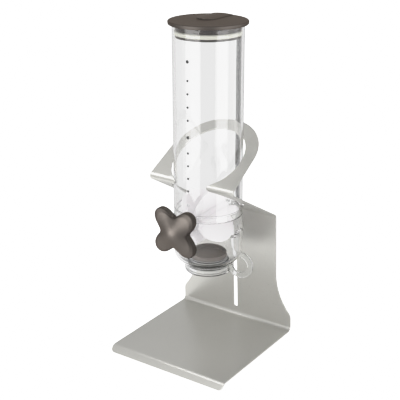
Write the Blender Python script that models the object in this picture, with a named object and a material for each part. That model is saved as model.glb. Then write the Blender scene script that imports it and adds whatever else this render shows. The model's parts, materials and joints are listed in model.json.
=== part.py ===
"""Countertop cereal dispenser: a clear canister with a paddle wheel and a knob, held in a folded sheet stand.

Axes: +X is the object's right, -Y its front (the knob's side), +Z up, and z = 0 is the table. Lengths are
written in millimetres, measured from the canister's centre line. finish() turns them into metres and moves
them back by AXIS_Y, so that the world's origin is under the middle of the whole object.
"""

import math

import bmesh
import bpy
from mathutils import Matrix, Vector

MM = 0.001
GAP = 0.3  # free space between pieces that touch
AXIS_Y = 14.9  # the canister's centre line, behind the world's origin

# Stand: one folded sheet, described by the face that is seen from the front
SHEET = 2.0
BASE_WIDTH = 177.0
BASE_TOP = 10.0
LIP_START_Y = -91.7
LIP_BEND_RADIUS = 8.0
LIP_ANGLE = math.radians(50)
LIP_CORNER_RADIUS = 6.0
LIP_CLEARANCE = 0.6  # between the lip and the table
BACK_Y = 70.6
BACK_LEAN = math.radians(2.75)
BACK_TOP_Z = 175.2
BACK_WIDTH = 131.4
FLARE_TOP_Z = 90.0
FLARE_RADIUS = 86.0
FLARE_CORNER_RADIUS = 15.0
INNER_BEND_RADIUS = 5.0
TOP_SLOPE = math.radians(29.5)
FOLD_TIP_Y = -46.0
FOLD_RADIUS = 5.5
FOLD_WIDTH = 126.4
LOOP_RADIUS = 61.4
LOOP_CENTRE_Y = 8.4
HOLE_RADIUS = 46.8
SLOT_WIDTH = 5.6
SLOT_BOTTOM_Z = 21.5
SLOT_TOP_Z = 150.0

# Feet
FOOT_RADIUS = 7.0
FOOT_X = 66.0
FOOT_FRONT_Y = -72.0
FOOT_REAR_Y = 48.0

# Canister tube
TUBE_RADIUS = 44.5
TUBE_WALL = 2.5
TUBE_BOTTOM_Z = 188.4
TUBE_TOP_Z = 431.2
LAP_DEPTH = 9.0
LAP_RADIUS = 43.3
LUG_ANGLE = math.radians(20)

# Lid
LID_RADIUS = 49.7
LID_BOTTOM_Z = 431.5
LID_TOP_Z = 436.1
PLUG_RADIUS = 40.4
PLUG_BOTTOM_Z = 416.4
SEAL_BOTTOM_Z = 419.3
SEAL_TOP_Z = 424.6
TONGUE_HALF_WIDTH = 14.0
TONGUE_RISE = 1.5
TONGUE_X = -7.5
TONGUE_FRONT_Y = -4.0
TONGUE_REAR_Y = 45.5

# Dispensing housing
AXIS_Z = 184.0
HOUSING_WALL = 2.4
SWELL = 1.7
SWELL_Z = 164.5
SWELL_SPREAD = 13.0
SHOULDER_Z = 137.0
SHOULDER_RADIUS = 14.0
SHOULDER_ANGLE = math.radians(48)
COLLAR_RADIUS = 29.9
COLLAR_BORE = 28.3
COLLAR_TOP_Z = 117.0
COLLAR_BOTTOM_Z = 112.5
SEAT_TOP_Z = 121.0
LEDGE_RADIUS = 42.6
LEDGE_THICKNESS = 1.8
LEDGE_TOP_Z = 180.0
LEDGE_INNER_RADIUS = 37.0
LEDGE_FRONT_Y = 3.3
BOSS_RADIUS = 8.0
BOSS_FRONT_Y = -48.5
BOSS_REAR_Y = 46.0
BOSS_INSIDE_Y = 42.6

# Paddle wheel, shaft and bearings
SHAFT_RADIUS = 4.0
BUSH_RADIUS = 5.6
BUSH_BORE = 4.1
BUSH_WALL = 1.5
REAR_BUSH_INSIDE_Y = 40.2
SHAFT_FRONT_Y = -70.0
SHAFT_REAR_Y = 43.9
CLIP_Y = -39.8
CLIP_THICKNESS = 0.8
HUB_RADIUS = 7.0
HUB_HALF_LENGTH = 36.0
SLEEVE_RADIUS = 10.0
BLADE_REACH = 41.0
BLADE_HALF_LENGTH = 35.0
BLADES = 6
BLADE_START = math.radians(14)

# Knob
KNOB_FACE_Y = -79.5
KNOB_THICKNESS = 11.0
KNOB_DOME = 4.5
KNOB_CROWN = 2.4
KNOB_MEAN_RADIUS = 29.4
KNOB_LOBE = 8.8
KNOB_LOBE_SHAPE = 0.6
KNOB_HUB_RADIUS = 10.0
KNOB_HUB_END_Y = -52.0

# Outlet cap
CAP_FLANGE_RADIUS = 30.7
CAP_BOTTOM_Z = 108.7
CAP_FLANGE_TOP_Z = 112.2
CAP_STEP_RADIUS = 27.4
CAP_STEP_Z = 115.6
CAP_RIM_RADIUS = 26.0
CAP_RIM_WALL = 1.3
CAP_RIM_Z = 127.8
CAP_DISC_RADIUS = 24.4
CAP_GASKET_TOP_Z = 123.2
DISH_WALL = 1.6
DISH_DEPTH = 5.2
PULL_ANGLE = math.radians(8)
PULL_REACH = 46.3
PULL_Z = 121.6
PULL_RADIUS = 18.0
PULL_HOLE_RADIUS = 10.5
PULL_THICKNESS = 3.2
PULL_CLEARANCE = 0.8
PULL_FOOT_END = 37.0

CUT_REACH = 70.0  # how far a cutter along Y runs each way, past everything it cuts


def clear_scene():
    for obj in list(bpy.data.objects):
        bpy.data.objects.remove(obj, do_unlink=True)


def make_material(name, colour, roughness, metallic=0.0, alpha=1.0):
    material = bpy.data.materials.new(name)
    material.use_nodes = True
    shader = material.node_tree.nodes["Principled BSDF"]
    shader.inputs["Base Color"].default_value = (*colour, 1)
    shader.inputs["Roughness"].default_value = roughness
    shader.inputs["Metallic"].default_value = metallic
    shader.inputs["Alpha"].default_value = alpha
    material.diffuse_color = (*colour, alpha)
    return material


def finish(name, bm, material=None, parent=None, helper=False):
    """An object from a bmesh in millimetres, with its faces turned outwards."""
    bmesh.ops.remove_doubles(bm, verts=bm.verts, dist=1e-5)
    bmesh.ops.recalc_face_normals(bm, faces=bm.faces)
    bmesh.ops.translate(bm, vec=(0, AXIS_Y, 0), verts=bm.verts)
    bmesh.ops.scale(bm, vec=(MM, MM, MM), verts=bm.verts)
    mesh = bpy.data.meshes.new(name)
    bm.to_mesh(mesh)
    bm.free()
    obj = bpy.data.objects.new(name, mesh)
    bpy.context.scene.collection.objects.link(obj)
    if parent:
        place_under(obj, parent)
    if helper:
        obj.hide_render = True
        obj.display_type = "WIRE"
        return obj
    mesh.shade_smooth()
    mesh.set_sharp_from_angle(angle=math.radians(35))
    mesh.materials.append(material)
    return obj


def place_under(obj, parent):
    """Parents an object whose mesh is in world coordinates, so that its origin is the parent's joint axis."""
    obj.data.transform(Matrix.Translation(-parent.location))
    obj.parent = parent


def joint_empty(name, height):
    empty = bpy.data.objects.new(name, None)
    empty.empty_display_size = 0.02
    empty.location = Vector((0, AXIS_Y, height)) * MM
    bpy.context.scene.collection.objects.link(empty)
    return empty


def boolean(obj, other, operation):
    modifier = obj.modifiers.new(f"{operation} {other.name}", "BOOLEAN")
    modifier.operation = operation
    modifier.object = other
    modifier.solver = "EXACT"


def arc(centre, radius, start, end, steps):
    """Points of an arc in the plane of a profile, from angle start to angle end."""
    turn = (end - start) / steps
    return [
        (centre[0] + radius * math.cos(start + turn * i), centre[1] + radius * math.sin(start + turn * i))
        for i in range(steps + 1)
    ]


def lathe(profile, segments=48, axis="Z", centre=(0, 0, 0)):
    """A ring or a solid turned from a closed profile of (radius, height) points."""
    bm = bmesh.new()
    rings = []
    for radius, height in profile:
        if radius < 1e-6:
            rings.append([bm.verts.new((0, 0, height))])
            continue
        angles = [2 * math.pi * i / segments for i in range(segments)]
        rings.append([bm.verts.new((radius * math.cos(a), radius * math.sin(a), height)) for a in angles])
    for first, second in zip(rings, rings[1:] + rings[:1]):
        if len(first) == 1 and len(second) == 1:
            continue
        for i in range(segments):
            j = (i + 1) % segments
            near = [first[i % len(first)], first[j % len(first)]]
            far = [second[j % len(second)], second[i % len(second)]]
            bm.faces.new(list(dict.fromkeys(near + far)))
    turn = {"Z": Matrix(), "Y": Matrix.Rotation(math.radians(90), 4, "X")}[axis]
    bm.transform(Matrix.Translation(centre) @ turn)
    return bm


def drum(radius, y_start, y_end, segments=24):
    """A plain cylinder along Y at the paddle wheel's height."""
    profile = [(0, -y_start), (radius, -y_start), (radius, -y_end), (0, -y_end)]
    return lathe(profile, segments, "Y", (0, 0, AXIS_Z))


def sleeve(bore, radius, y_start, y_end, segments=24):
    """A plain tube along Y at the paddle wheel's height."""
    profile = [(bore, -y_start), (radius, -y_start), (radius, -y_end), (bore, -y_end)]
    return lathe(profile, segments, "Y", (0, 0, AXIS_Z))


# ---------------------------------------------------------------- stand


def filleted(corners, radii, steps):
    """(point, left normal, leg) along a path of straight legs whose inner corners are rounded."""
    rows = []
    for i, corner in enumerate(corners):
        if i in (0, len(corners) - 1):
            continue
        before = (corner - corners[i - 1]).normalized()
        after = (corners[i + 1] - corner).normalized()
        turn = before.angle_signed(after)
        back = radii[i] * math.tan(abs(turn) / 2)
        side = -1 if turn > 0 else 1
        start = corner - before * back
        centre = start + Vector((-before.y, before.x)) * radii[i] * side
        for k in range(steps[i] + 1):
            angle = -turn * k / steps[i]
            arm = (start - centre).copy()
            arm.rotate(Matrix.Rotation(angle, 2))
            heading = before.copy()
            heading.rotate(Matrix.Rotation(angle, 2))
            rows.append((centre + arm, Vector((-heading.y, heading.x)), i))
    return rows


def flare_rows():
    """(height, half width) where the back plate widens to the base: a hollow arc, then a rounded corner."""
    narrow, wide = BACK_WIDTH / 2, BASE_WIDTH / 2
    radii = FLARE_RADIUS + FLARE_CORNER_RADIUS
    turn = math.acos(1 - (wide - narrow) / radii)
    corner_z = FLARE_TOP_Z - radii * math.sin(turn)
    rounded = arc((wide - FLARE_CORNER_RADIUS, corner_z), FLARE_CORNER_RADIUS, 0, turn, 5)
    hollow = arc((narrow + FLARE_RADIUS, FLARE_TOP_Z), FLARE_RADIUS, math.pi + turn, math.pi, 9)
    return [(z, half) for half, z in rounded + hollow[1:]]


def stand_rows():
    """(point, normal, half width) of every row of the folded sheet, from the front lip to the loop's end."""
    lip_corner = Vector((LIP_START_Y - LIP_BEND_RADIUS * math.tan(LIP_ANGLE / 2), BASE_TOP))
    lip_height = BASE_TOP - LIP_CLEARANCE - SHEET * math.cos(LIP_ANGLE)
    lip_end = lip_corner - Vector((lip_height / math.tan(LIP_ANGLE), lip_height))
    back_corner = Vector((BACK_Y, BASE_TOP))
    top_corner = Vector((BACK_Y - (BACK_TOP_Z - BASE_TOP) * math.tan(BACK_LEAN), BACK_TOP_Z))
    rise = math.tan(TOP_SLOPE)
    fold_corner = Vector((FOLD_TIP_Y, BACK_TOP_Z + (top_corner.x - FOLD_TIP_Y) * rise))
    loop_end_y = LOOP_CENTRE_Y + LOOP_RADIUS * math.cos(TOP_SLOPE)
    loop_end = Vector((loop_end_y, fold_corner.y + (loop_end_y - FOLD_TIP_Y) * rise))
    corners = [lip_end, lip_corner, back_corner, top_corner, fold_corner, loop_end]
    radii = [0, LIP_BEND_RADIUS, INNER_BEND_RADIUS, INNER_BEND_RADIUS, FOLD_RADIUS, 0]
    bends = filleted(corners, radii, [0, 7, 7, 6, 10, 0])

    def straight(start, end, share):
        along = end - start
        return start + along * share, Vector((-along.y, along.x)).normalized()

    rows = []
    lip_length = (lip_corner - lip_end).length
    for angle in (0, 22.5, 45, 67.5, 90):
        inset = LIP_CORNER_RADIUS * (1 - math.sin(math.radians(angle)))
        along = LIP_CORNER_RADIUS * (1 - math.cos(math.radians(angle)))
        if along < lip_length - LIP_BEND_RADIUS * math.tan(LIP_ANGLE / 2):
            rows.append((*straight(lip_end, lip_corner, along / lip_length), BASE_WIDTH / 2 - inset))
    rows += [(p, n, BASE_WIDTH / 2) for p, n, leg in bends if leg in (1, 2)]
    for z, half in flare_rows():
        rows.append((*straight(back_corner, top_corner, (z - BASE_TOP) / (BACK_TOP_Z - BASE_TOP)), half))
    rows += [(p, n, BACK_WIDTH / 2) for p, n, leg in bends if leg == 3]
    rows += [(p, n, FOLD_WIDTH / 2) for p, n, leg in bends if leg == 4]
    loop_rows = 20
    for i in range(loop_rows + 1):
        angle = math.pi / 2 * i / loop_rows
        y = LOOP_CENTRE_Y + LOOP_RADIUS * math.cos(TOP_SLOPE) * math.sin(angle)
        half = max(LOOP_RADIUS * math.cos(angle), 1.0)
        rows.append((*straight(fold_corner, loop_end, (y - FOLD_TIP_Y) / (loop_end_y - FOLD_TIP_Y)), half))
    return rows


def build_stand(material):
    bm = bmesh.new()
    loops = []
    for point, normal, half in stand_rows():
        under = point - normal * SHEET
        section = ((-half, point), (half, point), (half, under), (-half, under))
        loops.append([bm.verts.new((x, p.x, p.y)) for x, p in section])
    for first, second in zip(loops, loops[1:]):
        for i in range(4):
            j = (i + 1) % 4
            bm.faces.new((first[i], first[j], second[j], second[i]))
    bm.faces.new(loops[0])
    bm.faces.new(loops[-1])
    stand = finish("stand", bm, material)

    low, high = BACK_TOP_Z, TUBE_TOP_Z
    hole_profile = [(0, high), (HOLE_RADIUS, high), (HOLE_RADIUS, low), (0, low)]
    hole = finish("stand_hole_cutter", lathe(hole_profile, 72), helper=True)
    half = SLOT_WIDTH / 2
    slot_ends = arc((0, SLOT_TOP_Z - half), half, 0, math.pi, 10)
    slot_ends += arc((0, SLOT_BOTTOM_Z + half), half, math.pi, 2 * math.pi, 10)
    slot = finish("stand_slot_cutter", prism(slot_ends, BACK_Y - 25, BACK_Y + 15), helper=True)
    boolean(stand, hole, "DIFFERENCE")
    boolean(stand, slot, "DIFFERENCE")
    return stand


def prism(outline, y_start, y_end):
    """A plate with an outline of (x, z) points, thick along Y."""
    bm = bmesh.new()
    near = [bm.verts.new((x, y_start, z)) for x, z in outline]
    far = [bm.verts.new((x, y_end, z)) for x, z in outline]
    bm.faces.new(near)
    bm.faces.new(far)
    for i in range(len(outline)):
        j = (i + 1) % len(outline)
        bm.faces.new((near[i], near[j], far[j], far[i]))
    return bm


def build_feet(material):
    height = BASE_TOP - SHEET - GAP
    profile = [(0, height), (FOOT_RADIUS, height), (FOOT_RADIUS, 1.2), (FOOT_RADIUS - 1.2, 0), (0, 0)]
    places = (
        ("foot_front_left", -FOOT_X, FOOT_FRONT_Y),
        ("foot_front_right", FOOT_X, FOOT_FRONT_Y),
        ("foot_rear_left", -FOOT_X, FOOT_REAR_Y),
        ("foot_rear_right", FOOT_X, FOOT_REAR_Y),
    )
    for name, x, y in places:
        finish(name, lathe(profile, 20, centre=(x, y, 0)), material)


# ---------------------------------------------------------------- canister


def build_tube(material):
    inner = TUBE_RADIUS - TUBE_WALL
    lap_top = TUBE_BOTTOM_Z + LAP_DEPTH
    profile = [
        (TUBE_RADIUS, TUBE_TOP_Z - 0.8),
        (TUBE_RADIUS, TUBE_BOTTOM_Z),
        (LAP_RADIUS, TUBE_BOTTOM_Z),
        (LAP_RADIUS, lap_top),
        (inner, lap_top),
        (inner, TUBE_TOP_Z - 0.8),
        (inner + 0.8, TUBE_TOP_Z),
        (TUBE_RADIUS - 0.8, TUBE_TOP_Z),
    ]
    tube = finish("canister_tube", lathe(profile), material)
    notch = finish("tube_notch_cutter", drum(BOSS_RADIUS + 2 * GAP, -CUT_REACH, CUT_REACH), helper=True)
    boolean(tube, notch, "DIFFERENCE")
    for side in (-1, 1):
        lug = finish(f"tube_lug_{'left' if side < 0 else 'right'}", support_lug(side), helper=True)
        boolean(tube, lug, "UNION")
    return tube


def support_lug(side):
    """A lug low on the tube's rear that rests on the stand's upper face, and so slopes like it."""
    half, inside, outside, height = 6.0, TUBE_RADIUS - 1.0, TUBE_RADIUS + 5.5, 4.0
    rise = math.tan(TOP_SLOPE)
    top_corner_y = BACK_Y - (BACK_TOP_Z - BASE_TOP) * math.tan(BACK_LEAN)
    turn = Matrix.Rotation(math.pi - side * LUG_ANGLE, 4, "Z")
    bm = bmesh.new()
    corners = []
    for across in (-half, half):
        for out in (inside, outside):
            x, y, _ = turn @ Vector((across, -out, 0))
            sheet = BACK_TOP_Z + (top_corner_y - y) * rise + SHEET / math.cos(TOP_SLOPE)
            corners.append([bm.verts.new((x, y, sheet + up)) for up in (GAP, GAP + height)])
    a, b, c, d = corners
    for first, second in ((a, b), (b, d), (d, c), (c, a)):
        bm.faces.new((first[0], second[0], second[1], first[1]))
    bm.faces.new((a[0], b[0], d[0], c[0]))
    bm.faces.new((a[1], b[1], d[1], c[1]))
    return bm


def build_joint_seal(material):
    lap_top = TUBE_BOTTOM_Z + LAP_DEPTH
    low, high = lap_top - GAP - 1.2, lap_top - GAP
    inner = TUBE_RADIUS - TUBE_WALL + 0.1
    profile = [(LAP_RADIUS - GAP, high), (LAP_RADIUS - GAP, low), (inner, low), (inner, high)]
    finish("canister_joint_seal", lathe(profile), material)


# ---------------------------------------------------------------- housing


def housing_outline(offset=0.0):
    """The housing's outer side from its top edge down to the collar, moved inwards by offset."""
    points = []
    z = TUBE_BOTTOM_Z - GAP
    while z > SHOULDER_Z + 4:
        swell = SWELL * math.exp(-(((z - SWELL_Z) / SWELL_SPREAD) ** 2))
        points.append((TUBE_RADIUS + swell - offset, z))
        z -= 5.5
    centre = (TUBE_RADIUS - SHOULDER_RADIUS, SHOULDER_Z)
    points += arc(centre, SHOULDER_RADIUS - offset, 0, -SHOULDER_ANGLE, 6)
    return points


def rear_ledge():
    """A narrow ledge round the rear of the chamber that follows the sweep of the paddle wheel's blades."""
    core = [(0, LEDGE_TOP_Z)] + [p for p in housing_outline(HOUSING_WALL / 2) if p[1] < LEDGE_TOP_Z]
    core += [(0, core[-1][1])]
    ledge = finish("housing_ledge", lathe(core), helper=True)
    below = drum(LEDGE_RADIUS + LEDGE_THICKNESS, LEDGE_FRONT_Y, CUT_REACH, 62)
    underside = finish("housing_ledge_underside", below, helper=True)
    above = drum(LEDGE_RADIUS, -CUT_REACH, CUT_REACH + 1, 62)
    sweep = finish("housing_ledge_sweep_cutter", above, helper=True)
    opening = [(0, AXIS_Z), (LEDGE_INNER_RADIUS, AXIS_Z)]
    opening += [(LEDGE_INNER_RADIUS, COLLAR_TOP_Z), (0, COLLAR_TOP_Z)]
    middle = finish("housing_ledge_opening_cutter", lathe(opening, 36), helper=True)
    boolean(ledge, underside, "INTERSECT")
    boolean(ledge, sweep, "DIFFERENCE")
    boolean(ledge, middle, "DIFFERENCE")
    return ledge


def build_housing(material):
    outer = housing_outline()
    inner = housing_outline(HOUSING_WALL)
    neck_top = TUBE_BOTTOM_Z + LAP_DEPTH - GAP - 1.2 - GAP
    neck_outer = LAP_RADIUS - GAP
    top = outer[0][1]
    inside = TUBE_RADIUS - TUBE_WALL
    profile = [(neck_outer, neck_top), (neck_outer, top)] + outer
    profile += [(COLLAR_RADIUS, COLLAR_TOP_Z), (COLLAR_RADIUS, COLLAR_BOTTOM_Z)]
    profile += [(COLLAR_BORE, COLLAR_BOTTOM_Z), (COLLAR_BORE, SEAT_TOP_Z)]
    profile += inner[:0:-1] + [(inside, top), (inside, neck_top)]
    housing = finish("dispensing_housing", lathe(profile), material)

    boolean(housing, rear_ledge(), "UNION")

    bosses = (
        ("housing_front_boss", BOSS_FRONT_Y, -BOSS_INSIDE_Y),
        ("housing_rear_boss", BOSS_INSIDE_Y, BOSS_REAR_Y),
    )
    for name, start, end in bosses:
        boss = finish(name, drum(BOSS_RADIUS, start, end, 30), helper=True)
        boolean(housing, boss, "UNION")
    bore = finish("housing_bearing_cutter", drum(BUSH_RADIUS + GAP, -CUT_REACH, CUT_REACH, 26), helper=True)
    boolean(housing, bore, "DIFFERENCE")
    return housing


# ---------------------------------------------------------------- paddle wheel


def build_bushings(material):
    """A flanged front bushing, open right through, and a rear one that is closed behind the shaft's end."""
    flange = BUSH_RADIUS + 1.8
    front = -BOSS_FRONT_Y + GAP
    profile = [
        (BUSH_RADIUS, BOSS_INSIDE_Y),
        (BUSH_RADIUS, front),
        (flange, front),
        (flange, front + BUSH_WALL),
        (BUSH_BORE, front + BUSH_WALL),
        (BUSH_BORE, BOSS_INSIDE_Y),
    ]
    finish("front_bushing", lathe(profile, 24, "Y", (0, 0, AXIS_Z)), material)

    floor = SHAFT_REAR_Y + GAP
    profile = [
        (0, -floor - BUSH_WALL),
        (BUSH_RADIUS, -floor - BUSH_WALL),
        (BUSH_RADIUS, -REAR_BUSH_INSIDE_Y),
        (BUSH_BORE, -REAR_BUSH_INSIDE_Y),
        (BUSH_BORE, -floor),
        (0, -floor),
    ]
    finish("rear_bushing", lathe(profile, 24, "Y", (0, 0, AXIS_Z)), material)


def build_shaft(material, parent):
    """The knob's spindle: it ends in the rear bushing, and a groove near the front holds its clip."""
    groove = SHAFT_RADIUS - 0.8
    half = CLIP_THICKNESS / 2 + GAP / 2
    chamfer = 0.7
    profile = [
        (0, -SHAFT_FRONT_Y),
        (SHAFT_RADIUS, -SHAFT_FRONT_Y),
        (SHAFT_RADIUS, -CLIP_Y + half),
        (groove, -CLIP_Y + half),
        (groove, -CLIP_Y - half),
        (SHAFT_RADIUS, -CLIP_Y - half),
        (SHAFT_RADIUS, -SHAFT_REAR_Y + chamfer),
        (SHAFT_RADIUS - chamfer, -SHAFT_REAR_Y),
        (0, -SHAFT_REAR_Y),
    ]
    finish("drive_shaft", lathe(profile, 24, "Y", (0, 0, AXIS_Z)), material, parent)


def build_clip(material, parent):
    """An open spring ring that snaps into the shaft's groove."""
    inside, outside = SHAFT_RADIUS - 0.5, SHAFT_RADIUS + 2.0
    start, end = math.radians(-60), math.radians(240)
    outline = [(x, z + AXIS_Z) for x, z in arc((0, 0), outside, start, end, 20)]
    outline += [(x, z + AXIS_Z) for x, z in arc((0, 0), inside, end, start, 20)]
    half = CLIP_THICKNESS / 2
    finish("shaft_clip", prism(outline, CLIP_Y - half, CLIP_Y + half), material, parent)


def build_wheel(hub_material, blade_material, parent):
    bore = SHAFT_RADIUS + GAP
    hub = sleeve(bore, HUB_RADIUS, -HUB_HALF_LENGTH, HUB_HALF_LENGTH)
    finish("paddle_hub", hub, hub_material, parent)

    body = sleeve(HUB_RADIUS + GAP, SLEEVE_RADIUS, -BLADE_HALF_LENGTH, BLADE_HALF_LENGTH, 36)
    wheel = finish("paddle_wheel", body, blade_material, parent)
    for i in range(BLADES):
        blade = finish(f"paddle_blade_{i + 1}", wheel_blade(i), parent=parent, helper=True)
        boolean(wheel, blade, "UNION")


def wheel_blade(index):
    """One flexible blade, rounded so that it sweeps the round canister, thicker at its root."""
    steps = 12
    root, tip = 1.5, 0.8
    low = SLEEVE_RADIUS - 1.2
    rows = []
    for i in range(steps + 1):
        y = -BLADE_HALF_LENGTH + 2 * BLADE_HALF_LENGTH * i / steps
        rows.append((y, math.sqrt(BLADE_REACH**2 - y**2)))
    turn = Matrix.Rotation(BLADE_START + index * 2 * math.pi / BLADES, 4, "Y")
    place = Matrix.Translation((0, 0, AXIS_Z)) @ turn
    bm = bmesh.new()
    loops = []
    for y, reach in rows:
        shape = ((-root, low), (root, low), (tip, reach), (-tip, reach))
        loops.append([bm.verts.new(place @ Vector((x, y, z))) for x, z in shape])
    for first, second in zip(loops, loops[1:]):
        for i in range(4):
            j = (i + 1) % 4
            bm.faces.new((first[i], first[j], second[j], second[i]))
    bm.faces.new(loops[0])
    bm.faces.new(loops[-1])
    return bm


def knob_outline(angle, lobing=1.0):
    """The knob's radius at an angle: four round lobes set as an X, or a plain circle when lobing is 0."""
    lobes = 4 * (angle - math.pi / 4)
    return KNOB_MEAN_RADIUS + lobing * (KNOB_LOBE * math.cos(lobes) - KNOB_LOBE_SHAPE * math.cos(2 * lobes))


def build_knob(material, parent):
    """A stack of rings: the domed face, the rounded edge, the back, then the hub and its blind bore."""
    segments, edge = 48, 2.4
    face_edge_y = KNOB_FACE_Y + KNOB_CROWN
    back_y = KNOB_FACE_Y + KNOB_THICKNESS
    angles = [2 * math.pi * i / segments for i in range(segments)]

    def ring(y, radius_at):
        points = [(radius_at(a) * math.cos(a), radius_at(a) * math.sin(a)) for a in angles]
        return [bm.verts.new((x, y, AXIS_Z + z)) for x, z in points]

    bm = bmesh.new()
    front = bm.verts.new((0, KNOB_FACE_Y - KNOB_DOME, AXIS_Z))
    rings = []
    for share in (0.2, 0.4, 0.65):
        y = KNOB_FACE_Y + KNOB_CROWN * share**2 - KNOB_DOME * math.exp(-((share / 0.42) ** 2))
        rings.append(ring(y, lambda a, s=share: s * knob_outline(a, s * s)))
    for inset, y in arc((edge, face_edge_y + edge), edge, -math.pi / 2, -math.pi, 3):
        rings.append(ring(y, lambda a, d=inset: knob_outline(a) - d))
    rings.append(ring(back_y - 1, knob_outline))
    rings.append(ring(back_y, lambda a: knob_outline(a) - 1))
    bore = SHAFT_RADIUS + GAP
    for radius, y in (
        (KNOB_HUB_RADIUS + 4, back_y),
        (KNOB_HUB_RADIUS, back_y),
        (KNOB_HUB_RADIUS, KNOB_HUB_END_Y),
        (bore, KNOB_HUB_END_Y),
        (bore, SHAFT_FRONT_Y - GAP),
    ):
        rings.append(ring(y, lambda a, r=radius: r))
    for first, second in zip(rings, rings[1:]):
        for i in range(segments):
            j = (i + 1) % segments
            bm.faces.new((first[i], first[j], second[j], second[i]))
    for i in range(segments):
        bm.faces.new((front, rings[0][i], rings[0][(i + 1) % segments]))
    bm.faces.new(rings[-1])
    finish("knob", bm, material, parent)


# ---------------------------------------------------------------- lid


def build_lid(cap_material, plug_material, seal_material, parent):
    edge = 1.6
    profile = [(0, LID_TOP_Z), (LID_RADIUS - edge - 0.8, LID_TOP_Z)]
    profile += arc((LID_RADIUS - edge, LID_TOP_Z - edge), edge, math.pi / 2, 0, 4)
    profile += [(LID_RADIUS - 0.4, LID_BOTTOM_Z), (0, LID_BOTTOM_Z)]
    cap = finish("lid_cap", lathe(profile), cap_material, parent)
    tongue = finish("lid_tongue", tongue_pad(), parent=parent, helper=True)
    boolean(cap, tongue, "UNION")

    floor = PLUG_BOTTOM_Z + 2.2
    groove = PLUG_RADIUS - 2.0
    top = LID_BOTTOM_Z - GAP
    plug = [
        (PLUG_RADIUS, top),
        (PLUG_RADIUS, SEAL_TOP_Z + GAP),
        (groove, SEAL_TOP_Z + GAP),
        (groove, SEAL_BOTTOM_Z - GAP),
        (PLUG_RADIUS, SEAL_BOTTOM_Z - GAP),
        (PLUG_RADIUS, PLUG_BOTTOM_Z + 0.6),
        (PLUG_RADIUS - 0.6, PLUG_BOTTOM_Z),
        (0, PLUG_BOTTOM_Z),
        (0, floor),
        (groove - 2.2, floor),
        (groove - 2.2, top),
    ]
    finish("lid_plug", lathe(plug), plug_material, parent)

    reach = TUBE_RADIUS - TUBE_WALL - GAP
    bulge = 1.0
    seal = [(groove + GAP, SEAL_TOP_Z), (reach - bulge, SEAL_TOP_Z)]
    seal += [(reach, SEAL_TOP_Z - bulge), (reach, SEAL_BOTTOM_Z + bulge)]
    seal += [(reach - bulge, SEAL_BOTTOM_Z), (groove + GAP, SEAL_BOTTOM_Z)]
    finish("lid_seal", lathe(seal), seal_material, parent)


def tongue_pad():
    """The crowned finger tongue on the lid, from its middle to its rear edge."""
    half, across = TONGUE_HALF_WIDTH, 10
    rounded = arc((0, 0), half, math.radians(80), 0, 4)
    outline = [(TONGUE_FRONT_Y + half - forward, reach) for reach, forward in rounded]
    outline.append((TONGUE_REAR_Y, half))
    bm = bmesh.new()
    rows = []
    for y, reach in outline:
        row = []
        for i in range(across + 1):
            side = -1 + 2 * i / across
            crown = TONGUE_RISE * (1 - 0.55 * (side * reach / half) ** 2)
            row.append((TONGUE_X + side * reach, y, LID_TOP_Z + crown))
        rows.append(row)
    top = [[bm.verts.new(p) for p in row] for row in rows]
    low = [[bm.verts.new((x, y, LID_TOP_Z - 1.5)) for x, y, _ in row] for row in rows]
    for grid in (top, low):
        for first, second in zip(grid, grid[1:]):
            for i in range(across):
                bm.faces.new((first[i], first[i + 1], second[i + 1], second[i]))
    for i in range(across):
        bm.faces.new((top[0][i], top[0][i + 1], low[0][i + 1], low[0][i]))
        bm.faces.new((top[-1][i], top[-1][i + 1], low[-1][i + 1], low[-1][i]))
    for k in range(len(rows) - 1):
        for i in (0, across):
            bm.faces.new((top[k][i], top[k + 1][i], low[k + 1][i], low[k][i]))
    return bm


# ---------------------------------------------------------------- outlet cap


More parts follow.
